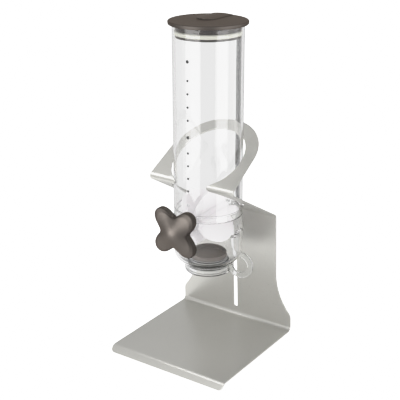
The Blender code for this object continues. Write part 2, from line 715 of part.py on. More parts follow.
def build_outlet_cap(cap_material, gasket_material, disc_material, parent):
    cup = CAP_RIM_RADIUS - CAP_RIM_WALL
    floor = CAP_RIM_Z - 2.0
    profile = [
        (0, floor),
        (cup, floor),
        (cup, CAP_RIM_Z),
        (CAP_RIM_RADIUS, CAP_RIM_Z),
        (CAP_RIM_RADIUS, CAP_STEP_Z),
        (CAP_STEP_RADIUS, CAP_STEP_Z),
        (CAP_STEP_RADIUS, CAP_FLANGE_TOP_Z),
        (CAP_FLANGE_RADIUS, CAP_FLANGE_TOP_Z),
        (CAP_FLANGE_RADIUS, CAP_BOTTOM_Z),
        (cup, CAP_BOTTOM_Z),
        (cup, floor - 2.2),
        (0, floor - 2.2),
    ]
    cap = finish("outlet_cap", lathe(profile), cap_material, parent)
    ring = finish("outlet_pull_ring", pull_ring(), parent=parent, helper=True)
    outline = [(r + PULL_CLEARANCE, z) for r, z in housing_outline()]
    beside_collar = COLLAR_RADIUS + PULL_CLEARANCE
    keep_clear = [(0, outline[0][1])] + outline
    keep_clear += [(beside_collar, COLLAR_TOP_Z - GAP), (beside_collar, CAP_FLANGE_TOP_Z)]
    keep_clear.append((0, CAP_FLANGE_TOP_Z))
    clearance = finish("outlet_ring_clearance", lathe(keep_clear), parent=parent, helper=True)
    boolean(ring, clearance, "DIFFERENCE")
    foot = finish("outlet_ring_foot", pull_ring_foot(), parent=parent, helper=True)
    boolean(ring, foot, "UNION")
    boolean(cap, ring, "UNION")

    gasket_top = CAP_GASKET_TOP_Z
    gasket = [(CAP_RIM_RADIUS + GAP, gasket_top), (COLLAR_BORE - 1.6, gasket_top)]
    gasket += [(COLLAR_BORE - 0.4, gasket_top - 1.2), (COLLAR_BORE - 0.4, CAP_STEP_Z + GAP + 1.0)]
    gasket += [(COLLAR_BORE - 1.0, CAP_STEP_Z + GAP), (CAP_RIM_RADIUS + GAP, CAP_STEP_Z + GAP)]
    finish("outlet_gasket", lathe(gasket), gasket_material, parent)

    low = floor + GAP
    inside = CAP_DISC_RADIUS - DISH_WALL
    brim = CAP_RIM_Z + DISH_DEPTH
    disc = [(0, CAP_RIM_Z), (inside - 0.8, CAP_RIM_Z), (inside, CAP_RIM_Z + 0.8), (inside, brim - 0.4)]
    disc += [(inside + 0.4, brim), (CAP_DISC_RADIUS - 0.4, brim), (CAP_DISC_RADIUS, brim - 0.4)]
    disc += [(CAP_DISC_RADIUS, low), (0, low)]
    finish("outlet_cap_disc", lathe(disc), disc_material, parent)


def pull_ring():
    """A flat ring standing on edge beside the cap."""
    half = PULL_THICKNESS / 2
    ring = [(PULL_HOLE_RADIUS, -half), (PULL_RADIUS, -half), (PULL_RADIUS, half), (PULL_HOLE_RADIUS, half)]
    bm = lathe(ring, 48, "Y", (PULL_REACH, 0, PULL_Z))
    bm.transform(Matrix.Rotation(PULL_ANGLE, 4, "Z"))
    return bm


def pull_ring_foot():
    """The foot that joins the ring to the cap's flange."""
    half = PULL_THICKNESS / 2 - 0.1
    top = CAP_FLANGE_TOP_Z - 0.1
    low = CAP_BOTTOM_Z + 0.1
    outline = [(CAP_STEP_RADIUS, low), (PULL_FOOT_END, low), (PULL_FOOT_END, top), (CAP_STEP_RADIUS, top)]
    bm = prism(outline, -half, half)
    bm.transform(Matrix.Rotation(PULL_ANGLE, 4, "Z"))
    return bm


def main():
    clear_scene()
    satin_sheet = make_material("satin_sheet", (0.60, 0.60, 0.57), 0.38, 0.9)
    rubber = make_material("rubber", (0.03, 0.03, 0.03), 0.8)
    clear = make_material("clear_plastic", (0.93, 0.94, 0.94), 0.08, alpha=0.3)
    taupe = make_material("taupe_plastic", (0.12, 0.105, 0.095), 0.5)
    cream = make_material("cream_silicone", (0.78, 0.79, 0.70), 0.5)
    white = make_material("white_plastic", (0.82, 0.82, 0.82), 0.4)
    silicone = make_material("white_silicone", (0.88, 0.87, 0.89), 0.5)
    steel = make_material("steel", (0.55, 0.55, 0.55), 0.3, 1.0)

    build_stand(satin_sheet)
    build_feet(rubber)
    build_tube(clear)
    build_joint_seal(silicone)
    build_housing(clear)
    build_bushings(white)

    rotor = joint_empty("paddle_axis", AXIS_Z)
    build_shaft(steel, rotor)
    build_clip(steel, rotor)
    build_wheel(white, silicone, rotor)
    build_knob(taupe, rotor)

    lid = joint_empty("lid_axis", LID_BOTTOM_Z)
    build_lid(taupe, taupe, cream, lid)

    outlet = joint_empty("outlet_cap_axis", CAP_BOTTOM_Z)
    build_outlet_cap(clear, rubber, taupe, outlet)


main()
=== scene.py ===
"""Looks for the countertop cereal dispenser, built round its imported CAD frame.

Shapes are written in millimetres from the canister's centre line, as in the CAD source, and add_piece() turns them
into metres and moves them to where the frame has that line. +X is the object's right, -Y its front, +Z up.
"""

import json
import math

import bmesh
import bpy
from mathutils import Matrix, Vector
from mathutils.geometry import delaunay_2d_cdt


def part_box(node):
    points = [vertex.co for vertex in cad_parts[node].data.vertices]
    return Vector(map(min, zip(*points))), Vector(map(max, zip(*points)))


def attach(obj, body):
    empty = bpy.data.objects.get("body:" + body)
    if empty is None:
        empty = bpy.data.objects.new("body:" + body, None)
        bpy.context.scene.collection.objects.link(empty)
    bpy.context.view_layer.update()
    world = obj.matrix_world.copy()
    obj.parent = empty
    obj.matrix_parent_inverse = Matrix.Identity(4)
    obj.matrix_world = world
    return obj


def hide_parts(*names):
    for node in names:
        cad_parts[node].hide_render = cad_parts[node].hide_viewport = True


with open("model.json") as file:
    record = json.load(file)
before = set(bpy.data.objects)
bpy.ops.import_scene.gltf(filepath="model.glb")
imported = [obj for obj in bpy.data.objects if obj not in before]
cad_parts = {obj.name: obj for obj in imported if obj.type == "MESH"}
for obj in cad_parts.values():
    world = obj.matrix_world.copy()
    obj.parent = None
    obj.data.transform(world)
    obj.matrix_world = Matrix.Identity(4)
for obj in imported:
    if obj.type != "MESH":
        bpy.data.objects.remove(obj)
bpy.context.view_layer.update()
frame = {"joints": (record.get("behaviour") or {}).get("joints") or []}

MM = 0.001
lid_low, lid_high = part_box("lid_cap")
AXIS = Vector(((lid_low.x + lid_high.x) / 2, (lid_low.y + lid_high.y) / 2, 0))
AXIS_Z = next(j for j in frame["joints"] if j["name"] == "knob_spin")["pos_m"][2] / MM
GAP = 0.3
ROUND = 160  # segments of a large turned piece
SMALL_ROUND = 64


# ---------------------------------------------------------------- mesh helpers


def add_piece(name, bm, material=None, body=None, replaced=(), helper=False):
    """An object from a bmesh in millimetres, riding on a CAD body and standing for its CAD nodes."""
    bmesh.ops.remove_doubles(bm, verts=bm.verts, dist=1e-5)
    bmesh.ops.recalc_face_normals(bm, faces=bm.faces)
    bmesh.ops.scale(bm, vec=(MM, MM, MM), verts=bm.verts)
    bmesh.ops.translate(bm, vec=AXIS, verts=bm.verts)
    mesh = bpy.data.meshes.new(name)
    bm.to_mesh(mesh)
    bm.free()
    obj = bpy.data.objects.new(name, mesh)
    bpy.context.scene.collection.objects.link(obj)
    if helper:
        return obj
    mesh.shade_smooth()
    mesh.materials.append(material)
    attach(obj, body)
    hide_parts(*replaced)
    return obj


def boolean(obj, other, operation):
    """Joins or cuts at once, so that the finished mesh moves as one piece, and drops the helper."""
    modifier = obj.modifiers.new("join", "BOOLEAN")
    modifier.operation = operation
    modifier.object = other
    modifier.solver = "EXACT"
    evaluated = obj.evaluated_get(bpy.context.evaluated_depsgraph_get())
    obj.data = bpy.data.meshes.new_from_object(evaluated)
    obj.modifiers.clear()
    bpy.data.objects.remove(other)


def even_shading(obj):
    """Keeps flat faces flat beside small rounds."""
    modifier = obj.modifiers.new("shading", "WEIGHTED_NORMAL")
    modifier.mode = "FACE_AREA"
    modifier.weight = 80


def arc(centre, radius, start, end, steps):
    turn = (end - start) / steps
    return [
        (centre[0] + radius * math.cos(start + turn * i), centre[1] + radius * math.sin(start + turn * i))
        for i in range(steps + 1)
    ]


def softened(profile, radius, steps=4):
    """A closed profile with its sharp corners rounded. Corners on the axis and gentle bends stay."""
    points = [Vector(p) for p in profile]
    result = []
    for i, corner in enumerate(points):
        before, after = corner - points[i - 1], points[(i + 1) % len(points)] - corner
        turn = abs(before.angle(after))
        if corner.x < 1e-6 or turn < math.radians(20):
            result.append(corner)
            continue
        cut = min(radius * math.tan(turn / 2), 0.45 * before.length, 0.45 * after.length)
        start, end = corner - before.normalized() * cut, corner + after.normalized() * cut
        for k in range(steps + 1):
            share = k / steps
            result.append(start.lerp(corner, share).lerp(corner.lerp(end, share), share))
    return [(p.x, p.y) for p in result]


def lathe(profile, segments=ROUND, axis="Z", centre=(0, 0, 0)):
    """A ring or a solid turned from a closed profile of (radius, height) points."""
    bm = bmesh.new()
    angles = [2 * math.pi * i / segments for i in range(segments)]
    rings = []
    for radius, height in profile:
        if radius < 1e-6:
            rings.append([bm.verts.new((0, 0, height))])
        else:
            rings.append([bm.verts.new((radius * math.cos(a), radius * math.sin(a), height)) for a in angles])
    for first, second in zip(rings, rings[1:] + rings[:1]):
        if len(first) == 1 and len(second) == 1:
            continue
        for i in range(segments):
            j = (i + 1) % segments
            near = [first[i % len(first)], first[j % len(first)]]
            far = [second[j % len(second)], second[i % len(second)]]
            bm.faces.new(list(dict.fromkeys(near + far)))
    if axis == "Y":
        bm.transform(Matrix.Rotation(math.radians(90), 4, "X"))
    bm.transform(Matrix.Translation(centre))
    return bm


def lathe_y(profile, segments=SMALL_ROUND):
    """A piece turned round the paddle wheel's axis, from a profile of (radius, -y) points."""
    return lathe(profile, segments, "Y", (0, 0, AXIS_Z))


def drum(radius, y_start, y_end, segments):
    return lathe_y([(0, -y_start), (radius, -y_start), (radius, -y_end), (0, -y_end)], segments)


def prism(outline, y_start, y_end):
    """A plate with an outline of (x, z) points, thick along Y."""
    bm = bmesh.new()
    near = [bm.verts.new((x, y_start, z)) for x, z in outline]
    far = [bm.verts.new((x, y_end, z)) for x, z in outline]
    bm.faces.new(near)
    bm.faces.new(far)
    for i in range(len(outline)):
        j = (i + 1) % len(outline)
        bm.faces.new((near[i], near[j], far[j], far[i]))
    return bm


# ---------------------------------------------------------------- material helpers


class Paint:
    """A procedural material under construction."""

    def __init__(self, name):
        self.material = bpy.data.materials.new(name)
        self.material.use_nodes = True
        self.nodes = self.material.node_tree.nodes
        self.links = self.material.node_tree.links
        self.shader = self.nodes["Principled BSDF"]
        self.output = self.nodes["Material Output"]
        self.place = self.nodes.new("ShaderNodeTexCoord").outputs["Object"]

    def put(self, target, value):
        if isinstance(value, bpy.types.NodeSocket):
            self.links.new(value, target)
        else:
            target.default_value = value

    def set(self, **values):
        for name, value in values.items():
            self.put(self.shader.inputs[name.replace("_", " ")], value)

    def node(self, kind, **settings):
        made = self.nodes.new(kind)
        for name, value in settings.items():
            setattr(made, name, value)
        return made

    def noise(self, scale, detail=2.0, stretch=(1, 1, 1)):
        mapping = self.node("ShaderNodeMapping")
        self.put(mapping.inputs["Vector"], self.place)
        mapping.inputs["Scale"].default_value = stretch
        texture = self.node("ShaderNodeTexNoise")
        self.put(texture.inputs["Vector"], mapping.outputs["Vector"])
        texture.inputs["Scale"].default_value = scale
        texture.inputs["Detail"].default_value = detail
        return texture.outputs["Fac"]

    def span(self, value, low, high, start=0.3, end=0.7):
        """Value from start..end turned into low..high."""
        ranged = self.node("ShaderNodeMapRange")
        for name, number in (("From Min", start), ("From Max", end), ("To Min", low), ("To Max", high)):
            ranged.inputs[name].default_value = number
        self.put(ranged.inputs["Value"], value)
        return ranged.outputs["Result"]

    def tone(self, value, dark, light):
        mixed = self.node("ShaderNodeMix", data_type="RGBA")
        self.put(mixed.inputs["Factor"], self.span(value, 0, 1))
        mixed.inputs["A"].default_value = (*dark, 1)
        mixed.inputs["B"].default_value = (*light, 1)
        return mixed.outputs["Result"]

    def bump(self, height, distance, strength=1.0, before=None):
        made = self.node("ShaderNodeBump")
        made.inputs["Strength"].default_value = strength
        made.inputs["Distance"].default_value = distance
        self.put(made.inputs["Height"], height)
        if before:
            self.put(made.inputs["Normal"], before)
        return made.outputs["Normal"]

    def mix(self, share, first, second):
        made = self.node("ShaderNodeMixShader")
        self.put(made.inputs["Fac"], share)
        self.links.new(first, made.inputs[1])
        self.links.new(second, made.inputs[2])
        return made.outputs["Shader"]

    def show(self, shader):
        self.links.new(shader, self.output.inputs["Surface"])

    def clear_to_shadows(self, strength=0.97):
        """Lets light pass a clear piece without the noise of bent light."""
        path = self.node("ShaderNodeLightPath")
        through = self.node("ShaderNodeBsdfTransparent")
        through.inputs["Color"].default_value = (strength, strength, strength, 1)
        either = self.node("ShaderNodeMath", operation="MAXIMUM")
        self.put(either.inputs[0], path.outputs["Is Shadow Ray"])
        self.put(either.inputs[1], path.outputs["Is Diffuse Ray"])
        self.show(self.mix(either.outputs["Value"], self.shader.outputs["BSDF"], through.outputs["BSDF"]))


def satin_sheet():
    """Silver satin finish: a soft metallic sheen over fine grain."""
    paint = Paint("satin_sheet")
    grain = paint.noise(1400, 3.0)
    cloud = paint.noise(9, 2.0)
    normal = paint.bump(grain, 0.00002, 0.5)
    paint.set(
        Base_Color=paint.tone(cloud, (0.520, 0.515, 0.488), (0.555, 0.550, 0.521)),
        Metallic=1.0,
        Roughness=paint.span(grain, 0.27, 0.34),
        Normal=normal,
    )
    dull = paint.node("ShaderNodeBsdfPrincipled")
    dull.inputs["Base Color"].default_value = (0.475, 0.470, 0.446, 1)
    dull.inputs["Metallic"].default_value = 0.6
    dull.inputs["Roughness"].default_value = 0.75
    paint.put(dull.inputs["Normal"], normal)
    paint.show(paint.mix(0.45, paint.shader.outputs["BSDF"], dull.outputs["BSDF"]))
    return paint.material


def clear_plastic(name, tint, waves):
    paint = Paint(name)
    paint.set(
        Base_Color=(*tint, 1),
        Roughness=paint.span(paint.noise(60), 0.0, 0.02),
        IOR=1.49,
        Transmission_Weight=1.0,
        Normal=paint.bump(paint.noise(35, 1.0), waves),
    )
    paint.clear_to_shadows()
    return paint.material


TAUPE = (0.104, 0.092, 0.083)


def taupe_plastic(name, shade):
    """Warm grey moulded plastic with a faint pearly sheen. Its colour is scaled per copy to paint light and shade."""
    paint = Paint(name)
    grain = paint.noise(900, 3.0)
    paint.set(
        Base_Color=paint.tone(
            paint.noise(14), [c * 0.94 * shade for c in TAUPE], [c * 1.06 * shade for c in TAUPE]
        ),
        Metallic=0.85,
        Specular_Tint=(0.60, 0.52, 0.46, 1),
        Roughness=paint.span(grain, 0.36, 0.46),
        Normal=paint.bump(grain, 0.00004, 0.35),
    )
    return paint.material


def white_plastic():
    paint = Paint("white_plastic")
    grain = paint.noise(700)
    paint.set(
        Base_Color=paint.tone(paint.noise(30), (0.78, 0.78, 0.78), (0.83, 0.83, 0.83)),
        Roughness=paint.span(grain, 0.33, 0.42),
        Normal=paint.bump(grain, 0.00002, 0.3),
    )
    return paint.material


def white_silicone():
    """Translucent flexible silicone with a faint violet cast."""
    paint = Paint("white_silicone")
    grain = paint.noise(300, 2.0)
    paint.set(
        Base_Color=paint.tone(paint.noise(25), (0.95, 0.935, 0.945), (0.97, 0.955, 0.965)),
        Roughness=paint.span(grain, 0.42, 0.55),
        Normal=paint.bump(grain, 0.00003, 0.4),
    )
    glow = paint.node("ShaderNodeBsdfTranslucent")
    glow.inputs["Color"].default_value = (0.98, 0.965, 0.975, 1)
    see = paint.node("ShaderNodeBsdfTransparent")
    see.inputs["Color"].default_value = (0.985, 0.98, 0.99, 1)
    body = paint.mix(0.4, paint.shader.outputs["BSDF"], glow.outputs["BSDF"])
    paint.show(paint.mix(0.15, body, see.outputs["BSDF"]))
    return paint.material


def cream_silicone():
    paint = Paint("cream_silicone")
    grain = paint.noise(500)
    paint.set(
        Base_Color=paint.tone(paint.noise(20), (0.43, 0.43, 0.375), (0.47, 0.47, 0.41)),
        Roughness=paint.span(grain, 0.45, 0.60),
        Subsurface_Weight=0.15,
        Subsurface_Radius=(0.002, 0.002, 0.0015),
        Normal=paint.bump(grain, 0.00003, 0.4),
    )
    return paint.material


def dark_rubber():
    paint = Paint("dark_rubber")
    grain = paint.noise(900, 4.0)
    paint.set(
        Base_Color=paint.tone(paint.noise(60), (0.028, 0.029, 0.029), (0.042, 0.043, 0.043)),
        Roughness=paint.span(grain, 0.55, 0.75),
        Normal=paint.bump(grain, 0.00006, 0.5),
    )
    return paint.material


def turned_steel():
    """Steel with fine turning lines round its own axis, which is along Y."""
    paint = Paint("turned_steel")
    lines = paint.noise(1500, 2.0, (0.05, 1, 0.05))
    paint.set(
        Base_Color=paint.tone(lines, (0.50, 0.50, 0.50), (0.60, 0.60, 0.60)),
        Metallic=1.0,
        Roughness=paint.span(lines, 0.22, 0.36),
        Normal=paint.bump(lines, 0.00002, 0.4),
    )
    return paint.material


def printed_ink(name, dark, light):
    paint = Paint(name)
    speckle = paint.noise(1800, 3.0)
    paint.set(
        Base_Color=paint.tone(speckle, dark, light),
        Roughness=paint.span(speckle, 0.45, 0.6),
    )
    return paint.material


# ---------------------------------------------------------------- thin sheets


def sheet(outlines, inner_points, place, thickness, edge):
    """A sheet with rounded edges, from a flat pattern of closed outlines (the first is the outside, the rest are
    holes) with inner points to bend at. place(u, v, depth) gives a pattern point's position."""
    verts, edges = [], []

    def inset(loop, distance):
        """The loop moved towards the sheet's material, which lies to its left."""
        moved = []
        for i, point in enumerate(loop):
            along = loop[(i + 1) % len(loop)] - loop[i - 1]
            moved.append(point + Vector((-along.y, along.x)).normalized() * distance)
        return moved

    rim_steps = 3
    loops = [[Vector(p) for p in outline] for outline in outlines]
    for loop in loops:
        start = len(verts)
        verts += inset(loop, edge)
        edges += [(start + i, start + (i + 1) % len(loop)) for i in range(len(loop))]
    rim_vertices = len(verts)
    verts += [Vector(p) for p in inner_points]
    points, _, faces, originals, _, _ = delaunay_2d_cdt(verts, edges, [], 1, 1e-6)
    bm = bmesh.new()
    top, low = {}, {}
    rim_of = {}
    for index, (point, source) in enumerate(zip(points, originals)):
        top[index] = bm.verts.new(place(point.x, point.y, 0))
        low[index] = bm.verts.new(place(point.x, point.y, thickness))
        for vertex in source:
            if vertex < rim_vertices:
                rim_of[vertex] = index
    for face in faces:
        middle = sum((points[i] for i in face), Vector((0, 0))) / len(face)
        if any(within(loop, middle) for loop in loops[1:]):
            continue
        bm.faces.new([top[i] for i in face])
        bm.faces.new([low[i] for i in reversed(face)])
    start = 0
    for loop in loops:
        rings = [[top[rim_of[start + i]] for i in range(len(loop))]]
        for k in range(1, 2 * rim_steps + 2):
            if k <= rim_steps:
                angle = math.pi / 2 * k / rim_steps
                distance, depth = edge * (1 - math.sin(angle)), edge * (1 - math.cos(angle))
            else:
                angle = math.pi / 2 * (2 * rim_steps + 1 - k) / rim_steps
                distance, depth = edge * (1 - math.sin(angle)), thickness - edge * (1 - math.cos(angle))
            if k == 2 * rim_steps + 1:
                rings.append([low[rim_of[start + i]] for i in range(len(loop))])
                continue
            rings.append([bm.verts.new(place(p.x, p.y, depth)) for p in inset(loop, distance)])
        for first, second in zip(rings, rings[1:]):
            for i in range(len(loop)):
                j = (i + 1) % len(loop)
                bm.faces.new((first[i], first[j], second[j], second[i]))
        start += len(loop)
    return bm


def within(loop, point):
    """Whether a point lies inside a closed outline."""
    inside = False
    for a, b in zip(loop, loop[1:] + loop[:1]):
        if (a.y > point.y) != (b.y > point.y) and point.x < a.x + (b.x - a.x) * (point.y - a.y) / (b.y - a.y):
            inside = not inside
    return inside


def in_order(points, clockwise):
    """The points as given, or reversed, so that they run clockwise or not."""
    area = sum(a[0] * b[1] - b[0] * a[1] for a, b in zip(points, points[1:] + points[:1]))
    return points[::-1] if (area < 0) != clockwise else points


# ---------------------------------------------------------------- stand

SHEET = 2.0
BASE_HALF_WIDTH = 88.5
BASE_TOP = 10.0
LIP_START_Y = -91.7
LIP_BEND_RADIUS = 8.0
LIP_ANGLE = math.radians(50)
LIP_CORNER_RADIUS = 6.0
LIP_CLEARANCE = 0.6
BACK_Y = 70.6
BACK_LEAN = math.radians(2.75)
BACK_TOP_Z = 175.2
BACK_HALF_WIDTH = 65.7
FLARE_TOP_Z = 90.0
FLARE_RADIUS = 86.0
FLARE_CORNER_RADIUS = 15.0
INNER_BEND_RADIUS = 5.0
TOP_SLOPE = math.radians(29.5)
FOLD_TIP_Y = -46.0
FOLD_RADIUS = 5.5
FOLD_HALF_WIDTH = 63.2
LOOP_RADIUS = 61.4
LOOP_CENTRE_Y = 8.4
HOLE_RADIUS = 46.8
SLOT_HALF_WIDTH = 2.8
SLOT_BOTTOM_Z = 21.5
SLOT_TOP_Z = 150.0
EDGE = 0.55


class FoldedPath:
    """The sheet's side view: straight legs joined by bends. s is the distance along it from the lip's end."""

    def __init__(self):
        lip_corner = Vector((LIP_START_Y - LIP_BEND_RADIUS * math.tan(LIP_ANGLE / 2), BASE_TOP))
        lip_height = BASE_TOP - LIP_CLEARANCE - SHEET * math.cos(LIP_ANGLE)
        lip_end = lip_corner - Vector((lip_height / math.tan(LIP_ANGLE), lip_height))
        back_corner = Vector((BACK_Y, BASE_TOP))
        top_corner = Vector((BACK_Y - (BACK_TOP_Z - BASE_TOP) * math.tan(BACK_LEAN), BACK_TOP_Z))
        rise = math.tan(TOP_SLOPE)
        fold_corner = Vector((FOLD_TIP_Y, BACK_TOP_Z + (top_corner.x - FOLD_TIP_Y) * rise))
        end_y = LOOP_CENTRE_Y + LOOP_RADIUS * math.cos(TOP_SLOPE)
        loop_end = Vector((end_y, fold_corner.y + (end_y - FOLD_TIP_Y) * rise))
        corners = [lip_end, lip_corner, back_corner, top_corner, fold_corner, loop_end]
        radii = [0, LIP_BEND_RADIUS, INNER_BEND_RADIUS, INNER_BEND_RADIUS, FOLD_RADIUS, 0]
        self.legs = []  # (start s, length, start point, heading, signed turn, radius)
        s, point = 0.0, lip_end
        for i in range(1, len(corners)):
            heading = (corners[i] - corners[i - 1]).normalized()
            if i == len(corners) - 1:
                self.legs.append((s, (corners[i] - point).length, point, heading, 0.0, 0.0))
                s += self.legs[-1][1]
                break
            following = (corners[i + 1] - corners[i]).normalized()
            turn = -heading.angle_signed(following)
            back = radii[i] * math.tan(abs(turn) / 2)
            bend_start = corners[i] - heading * back
            length = (bend_start - point).length
            self.legs.append((s, length, point, heading, 0.0, 0.0))
            s += length
            self.legs.append((s, radii[i] * abs(turn), bend_start, heading, turn, radii[i]))
            s += radii[i] * abs(turn)
            point = corners[i] + following * back
        self.length = s

    def at(self, s):
        """(point, left normal) at distance s."""
        for start, length, point, heading, turn, radius in self.legs:
            if s <= start + length + 1e-9:
                break
        along = s - start
        if not turn:
            return point + heading * along, Vector((-heading.y, heading.x))
        side = 1 if turn > 0 else -1
        centre = point + Vector((-heading.y, heading.x)) * radius * side
        swing = Matrix.Rotation(along / radius * side, 2)
        now = swing @ heading
        return centre + swing @ (point - centre), Vector((-now.y, now.x))

    def bends(self):
        return [(leg[0], leg[0] + leg[1], leg[5]) for leg in self.legs if leg[4]]

    def straight(self, index):
        return self.legs[2 * index]


path = FoldedPath()


def s_where(leg_index, test):
    """Distance along a straight leg where test(point) is zero, by halving."""
    start, length = path.straight(leg_index)[:2]
    low, high = start, start + length
    sign = test(path.at(low)[0]) < 0
    for _ in range(50):
        middle = (low + high) / 2
        if (test(path.at(middle)[0]) < 0) == sign:
            low = middle
        else:
            high = middle
    return (low + high) / 2


def stand_outline():
    """Half of the flat pattern's outside, as (s, half width), from the lip's end to the loop's end."""
    points = [(LIP_CORNER_RADIUS * (1 - math.cos(a)), BASE_HALF_WIDTH - LIP_CORNER_RADIUS * (1 - math.sin(a)))
              for a in (math.pi / 2 * i / 8 for i in range(9))]
    bends = path.bends()
    back_start = path.straight(2)[0]
    rows = [points[-1][0] + 1.0]
    for start, end, radius in bends[:2]:
        rows += [start + (end - start) * k / 10 for k in range(11)]
    rows += [bends[0][1] + (bends[1][0] - bends[0][1]) * k / 24 for k in range(1, 24)]
    points += [(s, BASE_HALF_WIDTH) for s in sorted(rows) if s > points[-1][0] + 0.2]

    reach = FLARE_RADIUS + FLARE_CORNER_RADIUS
    turn = math.acos(1 - (BASE_HALF_WIDTH - BACK_HALF_WIDTH) / reach)
    corner_z = FLARE_TOP_Z - reach * math.sin(turn)
    flare = arc((BASE_HALF_WIDTH - FLARE_CORNER_RADIUS, corner_z), FLARE_CORNER_RADIUS, 0, turn, 10)
    flare += arc((BACK_HALF_WIDTH + FLARE_RADIUS, FLARE_TOP_Z), FLARE_RADIUS, math.pi + turn, math.pi, 24)[1:]
    for half, z in flare:
        points.append((s_where(2, lambda p, z=z: p.y - z), half))
    top_start, top_end, _ = bends[2]
    fold_start, fold_end, _ = bends[3]
    last = points[-1][0]
    points += [(last + (top_start - last) * k / 10, BACK_HALF_WIDTH) for k in range(1, 10)]
    points += [(top_start + (top_end - top_start) * k / 10, BACK_HALF_WIDTH) for k in range(11)]
    for k in range(1, 16):
        share = k / 16
        half = BACK_HALF_WIDTH + (FOLD_HALF_WIDTH - BACK_HALF_WIDTH) * share
        points.append((top_end + (fold_start - top_end) * share, half))
    points += [(fold_start + (fold_end - fold_start) * k / 16, FOLD_HALF_WIDTH) for k in range(17)]
    centre_s = s_where(4, lambda p: p.x - LOOP_CENTRE_Y)
    for k in range(1, 12):
        share = k / 12
        half = FOLD_HALF_WIDTH + (LOOP_RADIUS - FOLD_HALF_WIDTH) * share
        points.append((fold_end + (centre_s - fold_end) * share, half))
    for k in range(49):
        angle = math.pi / 2 * k / 48
        points.append((centre_s + LOOP_RADIUS * math.sin(angle), LOOP_RADIUS * math.cos(angle)))
    return points, back_start


def hole_outline():
    """The round hole's closed outline in the flat pattern."""
    low = s_where(3, lambda p: p.x - HOLE_RADIUS)
    high = s_where(4, lambda p: p.x - HOLE_RADIUS)
    steps = 220
    half = []
    for k in range(steps + 1):
        s = low + (high - low) * (1 - math.cos(math.pi * k / steps)) / 2
        y = path.at(s)[0].x
        half.append((s, math.sqrt(max(HOLE_RADIUS**2 - y * y, 0))))
    return half + [(s, -x) for s, x in half[-2:0:-1]]


def slot_outline():
    low = s_where(2, lambda p: p.y - SLOT_BOTTOM_Z - SLOT_HALF_WIDTH)
    high = s_where(2, lambda p: p.y - SLOT_TOP_Z + SLOT_HALF_WIDTH)
    points = arc((high, 0), SLOT_HALF_WIDTH, -math.pi / 2, math.pi / 2, 12)
    return points + arc((low, 0), SLOT_HALF_WIDTH, math.pi / 2, 3 * math.pi / 2, 12)


def build_stand(material):
    half, _ = stand_outline()
    outside = half[:-1] + [(half[-1][0], 0.0)] + [(s, -x) for s, x in reversed(half[:-1])]
    hole, slot = hole_outline(), slot_outline()

    def inside(s, x):
        widths = [w for (a, w), (b, _) in zip(half, half[1:]) if a <= s <= b]
        if not widths or abs(x) > widths[0] - 1.5:
            return False
        hole_half = [w for (a, w), (b, _) in zip(hole, hole[1:221]) if a <= s <= b]
        if hole_half and abs(x) < hole_half[0] + 1.5:
            return False
        in_slot = min(p[0] for p in slot) - 2 < s < max(p[0] for p in slot) + 2
        return not (in_slot and abs(x) < SLOT_HALF_WIDTH + 2)

    rows = []
    for start, end, radius in path.bends():
        rows += [start + (end - start) * k / 16 for k in range(17)]
        rows += [start - 0.6, end + 0.6]
    rows += [7.0 * k for k in range(1, int(path.length / 7.0))]
    inner = [(s, x) for s in rows for x in range(-84, 85, 7) if inside(s, x)]

    def place(s, x, depth):
        point, normal = path.at(min(max(s, 0.0), path.length))
        if s > path.length:
            point = point + Vector((math.cos(TOP_SLOPE), math.sin(TOP_SLOPE))) * (s - path.length)
        spot = point - normal * depth
        return (x, spot.x, spot.y)

    outlines = [in_order(outside, False), in_order(hole, True), in_order(slot, True)]
    bm = sheet(outlines, inner, place, SHEET, EDGE)
    stand = add_piece("stand_sheet", bm, material, "base", ["stand"])
    even_shading(stand)


def build_feet(material):
    height = BASE_TOP - SHEET - GAP
    profile = [(0, height), (5.6, height), (7.0, height - 1.6), (7.0, 1.2), (5.8, 0), (3.4, 0), (2.8, 0.7), (0, 0.7)]
    corners = {"front_left": (-66, -72), "front_right": (66, -72), "rear_left": (-66, 48), "rear_right": (66, 48)}
    for name, (x, y) in corners.items():
        bm = lathe(softened(profile, 0.5), SMALL_ROUND, centre=(x, y, 0))
        foot = add_piece(f"foot_pad_{name}", bm, material, "base", [f"foot_{name}"])
        even_shading(foot)


# ---------------------------------------------------------------- canister

TUBE_RADIUS = 44.5
TUBE_INSIDE = 42.0
TUBE_BOTTOM_Z = 188.4
TUBE_TOP_Z = 431.2
LAP_TOP_Z = 197.4
LAP_RADIUS = 43.3
LUG_ANGLE = math.radians(20)
BOSS_RADIUS = 8.0


def support_lug(side):
    """A lug low on the tube's rear that rests on the stand's upper face, and so slopes like it."""
    half, inside, outside, height = 6.0, TUBE_RADIUS - 1.0, TUBE_RADIUS + 5.5, 4.0
    rise = math.tan(TOP_SLOPE)
    top_corner_y = BACK_Y - (BACK_TOP_Z - BASE_TOP) * math.tan(BACK_LEAN)
    turn = Matrix.Rotation(math.pi - side * LUG_ANGLE, 4, "Z")
    bm = bmesh.new()
    corners = []
    for across in (-half, half):
        for out in (inside, outside):
            x, y, _ = turn @ Vector((across, -out, 0))
            face = BACK_TOP_Z + (top_corner_y - y) * rise + SHEET / math.cos(TOP_SLOPE)
            corners.append([bm.verts.new((x, y, face + up)) for up in (GAP, GAP + height)])
    a, b, c, d = corners
    for first, second in ((a, b), (b, d), (d, c), (c, a)):
        bm.faces.new((first[0], second[0], second[1], first[1]))
    bm.faces.new((a[0], b[0], d[0], c[0]))
    bm.faces.new((a[1], b[1], d[1], c[1]))
    bmesh.ops.recalc_face_normals(bm, faces=bm.faces)
    bmesh.ops.bevel(bm, geom=bm.edges[:], offset=0.7, segments=3, profile=0.5, affect="EDGES")
    return bm


